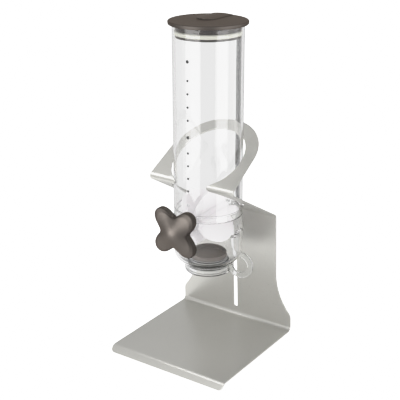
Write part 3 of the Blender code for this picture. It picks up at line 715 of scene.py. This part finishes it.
def build_tube(material, seal_material):
    profile = [
        (TUBE_RADIUS, TUBE_TOP_Z),
        (TUBE_RADIUS, TUBE_BOTTOM_Z),
        (LAP_RADIUS, TUBE_BOTTOM_Z),
        (LAP_RADIUS, LAP_TOP_Z),
        (TUBE_INSIDE, LAP_TOP_Z),
        (TUBE_INSIDE, TUBE_TOP_Z),
    ]
    bm = lathe(softened(profile, 0.5))
    tube = add_piece("clear_tube", bm, material, "base", ["canister_tube"])
    notch = add_piece("tube_notch", drum(BOSS_RADIUS + 2 * GAP, -70, 70, 62), helper=True)
    boolean(tube, notch, "DIFFERENCE")
    for side, name in ((-1, "left"), (1, "right")):
        lug = add_piece(f"tube_lug_{name}", support_lug(side), helper=True)
        boolean(tube, lug, "UNION")
    even_shading(tube)

    high = LAP_TOP_Z - GAP
    seal = [(LAP_RADIUS - GAP, high), (LAP_RADIUS - GAP, high - 1.2), (42.1, high - 1.2), (42.1, high)]
    bm = lathe(softened(seal, 0.25))
    add_piece("joint_seal", bm, seal_material, "base", ["canister_joint_seal"])


def build_marks(dark, pale):
    """The level marks printed down the tube's front: long and short steps, and a pale ring at the bottom."""
    large, small, thickness = 2.1, 1.5, 0.12
    heights = (
        (392.6, large),
        (369.4, small),
        (353.1, small),
        (336.7, small),
        (320.3, small),
        (298.9, large),
        (278.8, small),
        (262.2, small),
        (245.9, small),
        (229.3, small),
    )

    def on_tube(u, v, depth):
        angle = u / TUBE_RADIUS
        radius = TUBE_RADIUS + thickness - depth
        return (radius * math.sin(angle), -radius * math.cos(angle), v)

    bm = bmesh.new()
    for height, radius in heights:
        steps = 28
        for start, end in ((0, thickness),):
            top_middle = bm.verts.new(on_tube(0, height, start))
            low_middle = bm.verts.new(on_tube(0, height, end))
            top, low = [], []
            for u, v in arc((0, height), radius, 0, 2 * math.pi, steps)[:-1]:
                top.append(bm.verts.new(on_tube(u, v, start)))
                low.append(bm.verts.new(on_tube(u, v, end)))
            for i in range(steps):
                j = (i + 1) % steps
                bm.faces.new((top_middle, top[i], top[j]))
                bm.faces.new((low_middle, low[j], low[i]))
                bm.faces.new((top[i], low[i], low[j], top[j]))
    add_piece("level_marks", bm, dark, "base")

    bm = bmesh.new()
    steps, height = 40, 210.4
    rings = []
    for radius, depth in ((1.0, 0), (1.8, 0), (1.8, thickness), (1.0, thickness)):
        points = arc((0, height), radius, 0, 2 * math.pi, steps)[:-1]
        rings.append([bm.verts.new(on_tube(u, v, depth)) for u, v in points])
    for first, second in zip(rings, rings[1:] + rings[:1]):
        for i in range(steps):
            j = (i + 1) % steps
            bm.faces.new((first[i], first[j], second[j], second[i]))
    add_piece("level_ring", bm, pale, "base")


# ---------------------------------------------------------------- housing

HOUSING_WALL = 2.4
SWELL, SWELL_Z, SWELL_SPREAD = 1.7, 164.5, 13.0
SHOULDER_Z, SHOULDER_RADIUS, SHOULDER_ANGLE = 137.0, 14.0, math.radians(48)
COLLAR_RADIUS, COLLAR_BORE, COLLAR_TOP_Z, COLLAR_BOTTOM_Z, SEAT_TOP_Z = 29.9, 28.3, 117.0, 112.5, 121.0
LEDGE_RADIUS, LEDGE_THICKNESS, LEDGE_TOP_Z, LEDGE_INNER_RADIUS, LEDGE_FRONT_Y = 42.6, 1.8, 180.0, 37.0, 3.3
BOSS_FRONT_Y, BOSS_REAR_Y, BOSS_INSIDE_Y = -48.5, 46.0, 42.6
BUSH_RADIUS, BUSH_BORE, BUSH_WALL, REAR_BUSH_INSIDE_Y = 5.6, 4.1, 1.5, 40.2


def housing_outline(offset=0.0):
    """The housing's outer side from its top edge down to the collar, moved inwards by offset."""
    points = []
    z = TUBE_BOTTOM_Z - GAP
    while z > SHOULDER_Z + 2:
        swell = SWELL * math.exp(-(((z - SWELL_Z) / SWELL_SPREAD) ** 2))
        points.append((TUBE_RADIUS + swell - offset, z))
        z -= 2.0
    centre = (TUBE_RADIUS - SHOULDER_RADIUS, SHOULDER_Z)
    return points + arc(centre, SHOULDER_RADIUS - offset, 0, -SHOULDER_ANGLE, 12)


def rear_ledge():
    """The narrow ledge round the rear of the chamber, following the sweep of the wheel's blades."""
    core = [(0, LEDGE_TOP_Z)] + [p for p in housing_outline(HOUSING_WALL / 2) if p[1] < LEDGE_TOP_Z]
    core.append((0, core[-1][1]))
    ledge = add_piece("ledge", lathe(core), helper=True)
    below = drum(LEDGE_RADIUS + LEDGE_THICKNESS, LEDGE_FRONT_Y, 70, 162)
    underside = add_piece("ledge_underside", below, helper=True)
    sweep = add_piece("ledge_sweep", drum(LEDGE_RADIUS, -71, 71, 162), helper=True)
    opening = [(0, AXIS_Z), (LEDGE_INNER_RADIUS, AXIS_Z), (LEDGE_INNER_RADIUS, COLLAR_TOP_Z), (0, COLLAR_TOP_Z)]
    middle = add_piece("ledge_opening", lathe(opening, 98), helper=True)
    boolean(ledge, underside, "INTERSECT")
    boolean(ledge, sweep, "DIFFERENCE")
    boolean(ledge, middle, "DIFFERENCE")
    return ledge


def build_housing(material):
    outer, inner = housing_outline(), housing_outline(HOUSING_WALL)
    neck_top = LAP_TOP_Z - GAP - 1.2 - GAP
    neck_outer = LAP_RADIUS - GAP
    top = outer[0][1]
    profile = [(neck_outer, neck_top), (neck_outer, top)] + outer
    profile += [(COLLAR_RADIUS, COLLAR_TOP_Z), (COLLAR_RADIUS, COLLAR_BOTTOM_Z)]
    profile += [(COLLAR_BORE, COLLAR_BOTTOM_Z), (COLLAR_BORE, SEAT_TOP_Z)]
    profile += inner[:0:-1] + [(TUBE_INSIDE, top), (TUBE_INSIDE, neck_top)]
    bm = lathe(softened(profile, 0.5, 3))
    housing = add_piece("clear_housing", bm, material, "base", ["dispensing_housing"])

    boolean(housing, rear_ledge(), "UNION")
    for name, start, end in (("front", BOSS_FRONT_Y, -BOSS_INSIDE_Y), ("rear", BOSS_INSIDE_Y, BOSS_REAR_Y)):
        boss = add_piece(f"{name}_boss", drum(BOSS_RADIUS, start, end, 70), helper=True)
        boolean(housing, boss, "UNION")
    bore = add_piece("bearing_bore", drum(BUSH_RADIUS + GAP, -72, 72, 58), helper=True)
    boolean(housing, bore, "DIFFERENCE")
    even_shading(housing)


# ---------------------------------------------------------------- paddle wheel

SHAFT_RADIUS = 4.0
SHAFT_FRONT_Y, SHAFT_REAR_Y = -70.0, 43.9
CLIP_Y, CLIP_THICKNESS = -39.8, 0.8
HUB_RADIUS, HUB_HALF_LENGTH = 7.0, 36.0
SLEEVE_RADIUS = 10.0
BLADE_REACH, BLADE_HALF_LENGTH = 41.0, 35.0
BLADES = 6
BLADE_START = math.radians(14)


def build_bearings(material):
    front = -BOSS_FRONT_Y + GAP
    flange = BUSH_RADIUS + 1.8
    outer = [(BUSH_RADIUS, BOSS_INSIDE_Y), (BUSH_RADIUS, front), (flange, front), (flange, front + BUSH_WALL)]
    outer += [(BUSH_BORE, front + BUSH_WALL), (BUSH_BORE, BOSS_INSIDE_Y)]
    bush = add_piece(
        "shaft_bush_front", lathe_y(softened(outer, 0.3)), material, "base", ["front_bushing"]
    )
    even_shading(bush)
    floor = SHAFT_REAR_Y + GAP
    blind = [(0, -floor - BUSH_WALL), (BUSH_RADIUS, -floor - BUSH_WALL), (BUSH_RADIUS, -REAR_BUSH_INSIDE_Y)]
    blind += [(BUSH_BORE, -REAR_BUSH_INSIDE_Y), (BUSH_BORE, -floor), (0, -floor)]
    bush = add_piece(
        "shaft_bush_rear", lathe_y(softened(blind, 0.3)), material, "base", ["rear_bushing"]
    )
    even_shading(bush)


def build_shaft(material):
    groove, half, chamfer = SHAFT_RADIUS - 0.8, CLIP_THICKNESS / 2 + GAP / 2, 0.7
    profile = [(0, -SHAFT_FRONT_Y), (SHAFT_RADIUS, -SHAFT_FRONT_Y), (SHAFT_RADIUS, -CLIP_Y + half)]
    profile += [(groove, -CLIP_Y + half), (groove, -CLIP_Y - half), (SHAFT_RADIUS, -CLIP_Y - half)]
    profile += [(SHAFT_RADIUS, -SHAFT_REAR_Y + chamfer), (SHAFT_RADIUS - chamfer, -SHAFT_REAR_Y), (0, -SHAFT_REAR_Y)]
    shaft = add_piece("knob_shaft", lathe_y(softened(profile, 0.2)), material, "rotor", ["drive_shaft"])
    even_shading(shaft)

    inside, outside = SHAFT_RADIUS - 0.5, SHAFT_RADIUS + 2.0
    start, end = math.radians(-60), math.radians(240)
    outline = arc((0, AXIS_Z), outside, start, end, 60) + arc((0, AXIS_Z), inside, end, start, 60)
    bm = prism(outline, CLIP_Y - CLIP_THICKNESS / 2, CLIP_Y + CLIP_THICKNESS / 2)
    clip = add_piece("spring_clip", bm, material, "rotor", ["shaft_clip"])
    even_shading(clip)


def build_wheel(hub_material, blade_material):
    bore = SHAFT_RADIUS + GAP
    hub = [(bore, HUB_HALF_LENGTH), (HUB_RADIUS, HUB_HALF_LENGTH), (HUB_RADIUS, -HUB_HALF_LENGTH)]
    hub.append((bore, -HUB_HALF_LENGTH))
    piece = add_piece(
        "wheel_hub", lathe_y(softened(hub, 0.4)), hub_material, "rotor", ["paddle_hub"]
    )
    even_shading(piece)

    inner = HUB_RADIUS + GAP
    sleeve = [(inner, BLADE_HALF_LENGTH), (SLEEVE_RADIUS, BLADE_HALF_LENGTH), (SLEEVE_RADIUS, -BLADE_HALF_LENGTH)]
    sleeve.append((inner, -BLADE_HALF_LENGTH))
    wheel = add_piece(
        "wheel_blades",
        lathe_y(softened(sleeve, 0.5), 94),
        blade_material,
        "rotor",
        ["paddle_wheel"],
    )
    for i in range(BLADES):
        blade = add_piece(f"blade_{i + 1}", wheel_blade(i), helper=True)
        boolean(wheel, blade, "UNION")
    even_shading(wheel)


def wheel_blade(index):
    """One flexible blade, rounded so that it sweeps the round canister, with a rounded lip and a thick root."""
    steps, root, tip = 48, 1.5, 0.8
    low = SLEEVE_RADIUS - 1.2
    turn = Matrix.Rotation(BLADE_START + index * 2 * math.pi / BLADES, 4, "Y")
    place = Matrix.Translation((0, 0, AXIS_Z)) @ turn
    bm = bmesh.new()
    loops = []
    for i in range(steps + 1):
        y = -BLADE_HALF_LENGTH + 2 * BLADE_HALF_LENGTH * i / steps
        reach = math.sqrt(BLADE_REACH**2 - y**2)
        shape = [(-root, low), (root, low), (tip, reach - tip)]
        shape += [(tip * math.cos(a), reach - tip + tip * math.sin(a)) for a in (math.pi * k / 6 for k in range(1, 6))]
        shape.append((-tip, reach - tip))
        loops.append([bm.verts.new(place @ Vector((x, y, z))) for x, z in shape])
    for first, second in zip(loops, loops[1:]):
        for i in range(len(first)):
            j = (i + 1) % len(first)
            bm.faces.new((first[i], first[j], second[j], second[i]))
    bm.faces.new(loops[0])
    bm.faces.new(loops[-1])
    return bm


# ---------------------------------------------------------------- knob

KNOB_FACE_Y, KNOB_THICKNESS, KNOB_DOME, KNOB_CROWN = -79.5, 11.0, 4.5, 2.4
KNOB_MEAN_RADIUS, KNOB_LOBE, KNOB_LOBE_SHAPE = 29.4, 8.8, 0.6
KNOB_HUB_RADIUS, KNOB_HUB_END_Y = 10.0, -52.0


def knob_outline(angle, lobing=1.0):
    lobes = 4 * (angle - math.pi / 4)
    return KNOB_MEAN_RADIUS + lobing * (KNOB_LOBE * math.cos(lobes) - KNOB_LOBE_SHAPE * math.cos(2 * lobes))


def build_knob(material):
    """A stack of rings: the domed face, the rounded edge, the back, then the hub and its blind bore."""
    segments, edge = 192, 2.4
    face_edge_y = KNOB_FACE_Y + KNOB_CROWN
    back_y = KNOB_FACE_Y + KNOB_THICKNESS
    angles = [2 * math.pi * i / segments for i in range(segments)]

    def ring(y, radius_at):
        points = [(radius_at(a) * math.cos(a), radius_at(a) * math.sin(a)) for a in angles]
        return [bm.verts.new((x, y, AXIS_Z + z)) for x, z in points]

    bm = bmesh.new()
    front = bm.verts.new((0, KNOB_FACE_Y - KNOB_DOME, AXIS_Z))
    rings = []
    face_rings = 24
    for k in range(1, face_rings):
        share = k / face_rings * 0.92
        y = KNOB_FACE_Y + KNOB_CROWN * share**2 - KNOB_DOME * math.exp(-((share / 0.58) ** 2))
        rings.append(ring(y, lambda a, s=share: s * knob_outline(a, s * s)))
    for inset, y in arc((edge, face_edge_y + edge), edge, -math.pi / 2, -math.pi, 8):
        rings.append(ring(y, lambda a, d=inset: knob_outline(a) - d))
    rings.append(ring(back_y - 2.5, knob_outline))
    for inset, y in arc((1.2, back_y - 1.2), 1.2, math.pi, math.pi / 2, 4):
        rings.append(ring(y, lambda a, d=inset: knob_outline(a) - d))
    bore = SHAFT_RADIUS + GAP
    rings.append(ring(back_y, lambda a: KNOB_HUB_RADIUS + 4))
    for out, y in arc((2.0, back_y + 2.0), 2.0, -math.pi / 2, -math.pi, 4):
        rings.append(ring(y, lambda a, d=out: KNOB_HUB_RADIUS + d))
    for out, y in arc((-0.8, KNOB_HUB_END_Y - 0.8), 0.8, 0, math.pi / 2, 4):
        rings.append(ring(y, lambda a, d=out: KNOB_HUB_RADIUS + d))
    rings.append(ring(KNOB_HUB_END_Y, lambda a: bore))
    rings.append(ring(SHAFT_FRONT_Y - GAP, lambda a: bore))
    for first, second in zip(rings, rings[1:]):
        for i in range(segments):
            j = (i + 1) % segments
            bm.faces.new((first[i], first[j], second[j], second[i]))
    for i in range(segments):
        bm.faces.new((front, rings[0][i], rings[0][(i + 1) % segments]))
    bm.faces.new(rings[-1])
    knob = add_piece("lobed_knob", bm, material, "rotor", ["knob"])
    even_shading(knob)


# ---------------------------------------------------------------- lid

LID_RADIUS, LID_BOTTOM_Z, LID_TOP_Z = 49.7, 431.5, 436.1
PLUG_RADIUS, PLUG_BOTTOM_Z = 40.4, 416.4
SEAL_BOTTOM_Z, SEAL_TOP_Z = 419.3, 424.6
TONGUE_HALF_WIDTH, TONGUE_RISE, TONGUE_X, TONGUE_FRONT_Y, TONGUE_REAR_Y = 14.0, 1.5, -7.5, -4.0, 45.5


def build_lid(cap_material, plug_material, seal_material):
    edge = 1.6
    profile = [(0, LID_TOP_Z), (LID_RADIUS - edge - 0.8, LID_TOP_Z)]
    profile += arc((LID_RADIUS - edge, LID_TOP_Z - edge), edge, math.pi / 2, 0, 8)
    profile += [(LID_RADIUS - 0.4, LID_BOTTOM_Z + 0.4), (LID_RADIUS - 0.9, LID_BOTTOM_Z), (0, LID_BOTTOM_Z)]
    cap = add_piece("lid_top", lathe(profile, 192), cap_material, "lid", ["lid_cap"])
    tongue = add_piece("lid_tongue", tongue_pad(), helper=True)
    boolean(cap, tongue, "UNION")
    even_shading(cap)

    floor, groove, top = PLUG_BOTTOM_Z + 2.2, PLUG_RADIUS - 2.0, LID_BOTTOM_Z - GAP
    plug = [
        (PLUG_RADIUS, top),
        (PLUG_RADIUS, SEAL_TOP_Z + GAP),
        (groove, SEAL_TOP_Z + GAP),
        (groove, SEAL_BOTTOM_Z - GAP),
        (PLUG_RADIUS, SEAL_BOTTOM_Z - GAP),
        (PLUG_RADIUS, PLUG_BOTTOM_Z),
        (0, PLUG_BOTTOM_Z),
        (0, floor),
        (groove - 2.2, floor),
        (groove - 2.2, top),
    ]
    piece = add_piece("lid_cup", lathe(softened(plug, 0.4)), plug_material, "lid", ["lid_plug"])
    even_shading(piece)

    reach, bulge = TUBE_INSIDE - GAP, 1.0
    seal = [(groove + GAP, SEAL_TOP_Z), (reach - bulge, SEAL_TOP_Z), (reach, SEAL_TOP_Z - bulge)]
    seal += [(reach, SEAL_BOTTOM_Z + bulge), (reach - bulge, SEAL_BOTTOM_Z), (groove + GAP, SEAL_BOTTOM_Z)]
    piece = add_piece(
        "lid_ring_seal", lathe(softened(seal, 0.8)), seal_material, "lid", ["lid_seal"]
    )
    even_shading(piece)


def tongue_pad():
    """The crowned finger tongue on the lid, from its middle to its rear edge."""
    half, across = TONGUE_HALF_WIDTH, 40
    rounded = arc((0, 0), half, math.radians(84), 0, 20)
    outline = [(TONGUE_FRONT_Y + half - forward, reach) for reach, forward in rounded]
    outline += [(TONGUE_FRONT_Y + half + (TONGUE_REAR_Y - TONGUE_FRONT_Y - half) * k / 10, half) for k in range(1, 11)]
    bm = bmesh.new()
    rows = []
    for y, reach in outline:
        row = []
        for i in range(across + 1):
            side = -1 + 2 * i / across
            crown = TONGUE_RISE * (1 - 0.55 * (side * reach / half) ** 2)
            row.append((TONGUE_X + side * reach, y, LID_TOP_Z + crown))
        rows.append(row)
    top = [[bm.verts.new(p) for p in row] for row in rows]
    low = [[bm.verts.new((x, y, LID_TOP_Z - 1.5)) for x, y, _ in row] for row in rows]
    for grid in (top, low):
        for first, second in zip(grid, grid[1:]):
            for i in range(across):
                bm.faces.new((first[i], first[i + 1], second[i + 1], second[i]))
    for i in range(across):
        bm.faces.new((top[0][i], top[0][i + 1], low[0][i + 1], low[0][i]))
        bm.faces.new((top[-1][i], top[-1][i + 1], low[-1][i + 1], low[-1][i]))
    for k in range(len(rows) - 1):
        for i in (0, across):
            bm.faces.new((top[k][i], top[k + 1][i], low[k + 1][i], low[k][i]))
    return bm


# ---------------------------------------------------------------- outlet cap

CAP_FLANGE_RADIUS, CAP_BOTTOM_Z, CAP_FLANGE_TOP_Z = 30.7, 108.7, 112.2
CAP_STEP_RADIUS, CAP_STEP_Z = 27.4, 115.6
CAP_RIM_RADIUS, CAP_RIM_WALL, CAP_RIM_Z = 26.0, 1.3, 127.8
CAP_DISC_RADIUS, DISH_WALL, DISH_DEPTH = 24.4, 1.6, 5.2
CAP_GASKET_TOP_Z = 123.2
PULL_ANGLE = math.radians(8)
PULL_REACH, PULL_Z, PULL_RADIUS, PULL_HOLE_RADIUS = 46.3, 121.6, 18.0, 10.5
PULL_THICKNESS, PULL_CLEARANCE, PULL_FOOT_END = 3.2, 0.8, 37.0


def build_outlet(cap_material, gasket_material, disc_material):
    cup = CAP_RIM_RADIUS - CAP_RIM_WALL
    floor = CAP_RIM_Z - 2.0
    profile = [
        (0, floor),
        (cup, floor),
        (cup, CAP_RIM_Z),
        (CAP_RIM_RADIUS, CAP_RIM_Z),
        (CAP_RIM_RADIUS, CAP_STEP_Z),
        (CAP_STEP_RADIUS, CAP_STEP_Z),
        (CAP_STEP_RADIUS, CAP_FLANGE_TOP_Z),
        (CAP_FLANGE_RADIUS, CAP_FLANGE_TOP_Z),
        (CAP_FLANGE_RADIUS, CAP_BOTTOM_Z),
        (cup, CAP_BOTTOM_Z),
        (cup, floor - 2.2),
        (0, floor - 2.2),
    ]
    bm = lathe(softened(profile, 0.5))
    cap = add_piece("clear_outlet_cap", bm, cap_material, "outlet", ["outlet_cap"])
    half = PULL_THICKNESS / 2
    ring = [(PULL_HOLE_RADIUS, -half), (PULL_RADIUS, -half), (PULL_RADIUS, half), (PULL_HOLE_RADIUS, half)]
    bm = lathe(softened(ring, 0.9), 96, "Y", (PULL_REACH, 0, PULL_Z))
    bm.transform(Matrix.Rotation(PULL_ANGLE, 4, "Z"))
    ring = add_piece("pull_ring", bm, helper=True)
    outline = [(r + PULL_CLEARANCE, z) for r, z in housing_outline()]
    beside = COLLAR_RADIUS + PULL_CLEARANCE
    keep_clear = [(0, outline[0][1])] + outline
    keep_clear += [(beside, COLLAR_TOP_Z - GAP), (beside, CAP_FLANGE_TOP_Z), (0, CAP_FLANGE_TOP_Z)]
    clearance = add_piece("pull_ring_clearance", lathe(keep_clear, 158), helper=True)
    boolean(ring, clearance, "DIFFERENCE")
    low, high = CAP_BOTTOM_Z + 0.1, CAP_FLANGE_TOP_Z - 0.1
    foot = [(CAP_STEP_RADIUS, low), (PULL_FOOT_END, low), (PULL_FOOT_END, high), (CAP_STEP_RADIUS, high)]
    bm = prism(foot, -half + 0.1, half - 0.1)
    bm.transform(Matrix.Rotation(PULL_ANGLE, 4, "Z"))
    foot = add_piece("pull_ring_foot", bm, helper=True)
    boolean(ring, foot, "UNION")
    boolean(cap, ring, "UNION")
    even_shading(cap)

    gasket_top = CAP_GASKET_TOP_Z
    gasket = [(CAP_RIM_RADIUS + GAP, gasket_top), (COLLAR_BORE - 1.6, gasket_top)]
    gasket += [(COLLAR_BORE - 0.4, gasket_top - 1.2), (COLLAR_BORE - 0.4, CAP_STEP_Z + GAP + 1.0)]
    gasket += [(COLLAR_BORE - 1.0, CAP_STEP_Z + GAP), (CAP_RIM_RADIUS + GAP, CAP_STEP_Z + GAP)]
    bm = lathe(softened(gasket, 0.4))
    piece = add_piece("outlet_ring_gasket", bm, gasket_material, "outlet", ["outlet_gasket"])
    even_shading(piece)

    low = floor + GAP
    inside, brim = CAP_DISC_RADIUS - DISH_WALL, CAP_RIM_Z + DISH_DEPTH
    disc = [(0, CAP_RIM_Z), (inside, CAP_RIM_Z), (inside, brim), (CAP_DISC_RADIUS, brim)]
    disc += [(CAP_DISC_RADIUS, low), (0, low)]
    bm = lathe(softened(disc, 0.5))
    piece = add_piece("outlet_disc", bm, disc_material, "outlet", ["outlet_cap_disc"])
    even_shading(piece)


# ---------------------------------------------------------------- studio

CAMERA_AZIMUTH = 34.526
CAMERA_PLACE = (626.50, -929.24, 623.91)
CAMERA_LOOK = (-8.677, -5.969, 204.101)
CAMERA_ROLL = math.radians(-0.164)
CAMERA_LENS = 83.34
WORLD_LIGHT = 0.72
SEEN_THROUGH = 0.84
FLOOR_GLOW = 1.2
# Painted light: in reflections the floor glows at FLOOR_MIRRORED, rising to FLOOR_PATCH_LIGHT in a round patch.
FLOOR_MIRRORED = 0.6
FLOOR_PATCH_PLACE = (-0.14, -0.13, 0)
FLOOR_PATCH_REACH = 0.40
FLOOR_PATCH_LIGHT = 1.5
BACKGROUND = 1.8


def build_camera():
    data = bpy.data.cameras.new("camera")
    data.lens = CAMERA_LENS
    data.sensor_width = 36
    data.clip_end = 50
    camera = bpy.data.objects.new("camera", data)
    bpy.context.scene.collection.objects.link(camera)
    place = Vector(CAMERA_PLACE) * MM + AXIS
    look = Vector(CAMERA_LOOK) * MM + AXIS
    turn = (look - place).to_track_quat("-Z", "Y").to_matrix().to_4x4()
    camera.matrix_world = Matrix.Translation(place) @ turn @ Matrix.Rotation(CAMERA_ROLL, 4, "Z")
    bpy.context.scene.camera = camera


def build_floor():
    bm = bmesh.new()
    bmesh.ops.create_grid(bm, x_segments=8, y_segments=8, size=9)
    mesh = bpy.data.meshes.new("floor")
    bm.to_mesh(mesh)
    bm.free()
    floor = bpy.data.objects.new("floor", mesh)
    bpy.context.scene.collection.objects.link(floor)
    paint = Paint("pale_floor")
    rays = paint.node("ShaderNodeLightPath")
    paint.set(
        Base_Color=paint.tone(paint.noise(3), (0.93, 0.93, 0.93), (0.95, 0.95, 0.95)),
        Roughness=0.9,
        Specular_IOR_Level=0.1,
        Emission_Color=(1, 1, 1, 1),
        Emission_Strength=paint.span(rays.outputs["Is Camera Ray"], 0.0, FLOOR_GLOW, 0.0, 1.0),
    )
    seen_through = paint.node("ShaderNodeEmission")
    seen_through.inputs["Strength"].default_value = SEEN_THROUGH
    # Painted light: seen only in reflections, the floor glows, brightest in a round patch at the stand's front left.
    patch = paint.node("ShaderNodeTexGradient", gradient_type="SPHERICAL")
    spread = paint.node("ShaderNodeMapping", vector_type="TEXTURE")
    spread.inputs["Location"].default_value = FLOOR_PATCH_PLACE
    spread.inputs["Scale"].default_value = (FLOOR_PATCH_REACH, FLOOR_PATCH_REACH, 1)
    paint.put(spread.inputs["Vector"], paint.place)
    paint.put(patch.inputs["Vector"], spread.outputs["Vector"])
    mirrored = paint.node("ShaderNodeEmission")
    lit = paint.span(patch.outputs["Fac"], FLOOR_MIRRORED, FLOOR_PATCH_LIGHT, 0.0, 0.6)
    paint.put(mirrored.inputs["Strength"], lit)
    shader = paint.mix(rays.outputs["Is Glossy Ray"], paint.shader.outputs["BSDF"], mirrored.outputs["Emission"])
    paint.show(paint.mix(rays.outputs["Is Transmission Ray"], shader, seen_through.outputs["Emission"]))
    mesh.materials.append(paint.material)


def softbox(name, azimuth, distance, width, height, centre_z, radiance, lit, aim=(0, 0)):
    """A tall soft light facing the canister, at an azimuth measured from -Y towards +X. It lights only the objects
    in lit."""
    data = bpy.data.lights.new(name, "AREA")
    data.shape = "RECTANGLE"
    data.size, data.size_y = width, height
    data.energy = radiance * math.pi * width * height
    light = bpy.data.objects.new(name, data)
    bpy.context.scene.collection.objects.link(light)
    angle = math.radians(azimuth)
    focus = Vector((*aim, centre_z))
    place = focus + Vector((distance * math.sin(angle), -distance * math.cos(angle), 0))
    turn = (focus - place).to_track_quat("-Z", "Y").to_matrix().to_4x4()
    light.matrix_world = Matrix.Translation(place + AXIS) @ turn
    light.visible_camera = False
    receivers = bpy.data.collections.new(f"{name}_lights")
    for obj in lit:
        receivers.objects.link(obj)
    light.light_linking.receiver_collection = receivers


def black_card(name, across, back, width):
    """A tall black card behind the canister that only bent light sees: it draws the dark line in the tube's side."""
    view = math.radians(CAMERA_AZIMUTH)
    right = Vector((math.cos(view), math.sin(view), 0))
    away = Vector((-math.sin(view), math.cos(view), 0))
    bm = bmesh.new()
    corners = [(-width / 2, 0.0), (width / 2, 0.0), (width / 2, 1.2), (-width / 2, 1.2)]
    verts = [bm.verts.new(AXIS + away * back + right * (across + x) + Vector((0, 0, z - 0.4))) for x, z in corners]
    bm.faces.new(verts)
    mesh = bpy.data.meshes.new(name)
    bm.to_mesh(mesh)
    bm.free()
    card = bpy.data.objects.new(name, mesh)
    bpy.context.scene.collection.objects.link(card)
    mesh.materials.append(printed_ink("black_card", (0.01, 0.01, 0.012), (0.02, 0.02, 0.022)))
    card.visible_camera = False
    card.visible_diffuse = False
    card.visible_glossy = False
    card.visible_shadow = False


def build_world():
    """White where the camera sees it, a little less bright through clear plastic, and dimmer as a light."""
    world = bpy.data.worlds.new("studio")
    bpy.context.scene.world = world
    world.use_nodes = True
    nodes, links = world.node_tree.nodes, world.node_tree.links
    rays = nodes.new("ShaderNodeLightPath")
    shader = nodes["Background"]
    shader.inputs["Strength"].default_value = WORLD_LIGHT
    for ray, strength in (("Is Transmission Ray", SEEN_THROUGH), ("Is Camera Ray", BACKGROUND)):
        seen = nodes.new("ShaderNodeBackground")
        seen.inputs["Color"].default_value = (1, 1, 1, 1)
        seen.inputs["Strength"].default_value = strength
        choose = nodes.new("ShaderNodeMixShader")
        links.new(rays.outputs[ray], choose.inputs["Fac"])
        links.new(shader.outputs[0], choose.inputs[1])
        links.new(seen.outputs["Background"], choose.inputs[2])
        shader = choose
    nodes["Background"].inputs["Color"].default_value = (1, 1, 1, 1)
    links.new(shader.outputs[0], nodes["World Output"].inputs["Surface"])


def build_film():
    """Keeps the plain colours but rolls off above 0.8, so that bright plastic keeps its shading."""
    settings = bpy.context.scene.view_settings
    settings.view_transform = "Standard"
    settings.look = "None"
    settings.use_curve_mapping = True
    mapping = settings.curve_mapping
    mapping.clip_max_x, mapping.clip_max_y = 2.0, 2.0
    mapping.white_level = (2.0, 2.0, 2.0)
    curve = mapping.curves[3]
    for x, y in ((0.8, 0.8), (1.0, 0.89), (1.2, 0.94), (1.6, 1.0)):
        point = curve.points.new(x / 2, y)
        point.handle_type = "VECTOR"
    curve.points[0].handle_type = "VECTOR"
    mapping.update()


CHAMBER_PIECES = ("clear_housing", "clear_outlet_cap", "outlet_ring_gasket", "outlet_disc")


def main():
    silver = satin_sheet()
    tube_clear = clear_plastic("tube_clear", (0.996, 0.996, 0.995), 0.00002)
    housing_clear = clear_plastic("housing_clear", (0.992, 0.991, 0.994), 0.00004)
    cap_clear = clear_plastic("cap_clear", (0.96, 0.965, 0.965), 0.00003)
    taupe = taupe_plastic("taupe_plastic", 0.9)
    # Painted shade: darker copies of the taupe for the plug in the shade under the lid and, slightly, for the knob.
    painted_shade_taupe = taupe_plastic("taupe_plug_painted_shade", 0.35)
    knob_taupe = taupe_plastic("taupe_knob", 0.85)
    # Painted light: a lighter copy of the taupe for the outlet disc, which sits in less light under the housing.
    painted_light_taupe = taupe_plastic("taupe_disc_painted_light", 2.3)
    white = white_plastic()
    silicone = white_silicone()
    cream = cream_silicone()
    rubber = dark_rubber()
    steel = turned_steel()

    build_stand(silver)
    build_feet(rubber)
    build_tube(tube_clear, silicone)
    build_marks(printed_ink("dark_ink", (0.02, 0.02, 0.02), (0.04, 0.04, 0.04)), printed_ink("pale_ink", (0.5, 0.5, 0.52), (0.6, 0.6, 0.62)))
    build_housing(housing_clear)
    build_bearings(white)
    build_shaft(steel)
    build_wheel(white, silicone)
    build_knob(knob_taupe)
    build_lid(taupe, painted_shade_taupe, cream)
    build_outlet(cap_clear, rubber, painted_light_taupe)

    build_floor()
    build_world()
    shown = [obj for obj in bpy.context.scene.objects if obj.type == "MESH"]
    sheet_metal = [obj for obj in shown if obj.name == "stand_sheet"]
    knob = [obj for obj in shown if obj.name == "lobed_knob"]
    chamber = [obj for obj in shown if obj.name in CHAMBER_PIECES]
    others = [obj for obj in shown if obj not in sheet_metal + chamber + knob]
    softbox("softbox_front_left", -16, 0.50, 0.45, 1.1, 0.5, 2.4, others)
    softbox("softbox_right", 80, 0.50, 0.35, 1.1, 0.5, 2.2, others)
    softbox("softbox_rear_right", 120, 0.50, 0.36, 1.1, 0.5, 1.1, others)
    softbox("chamber_softbox", -16, 0.50, 0.60, 1.1, 0.5, 0.8, chamber + knob)
    softbox("sheet_softbox_front", 25, 0.60, 0.70, 0.4, 0.25, 4.5, sheet_metal)
    softbox("fold_softbox", -52, 0.22, 0.26, 0.18, 0.40, 3.6, sheet_metal, (0.04, -0.046))
    softbox("sheet_softbox_right", 85, 0.60, 0.60, 0.8, 0.4, 0.9, sheet_metal)
    softbox("knob_softbox", -28, 0.30, 0.14, 0.14, 0.125, 10.5, knob, (0, -0.08))
    black_card("edge_card_right", 0.14, 0.5, 0.09)
    build_camera()
    build_film()


main()
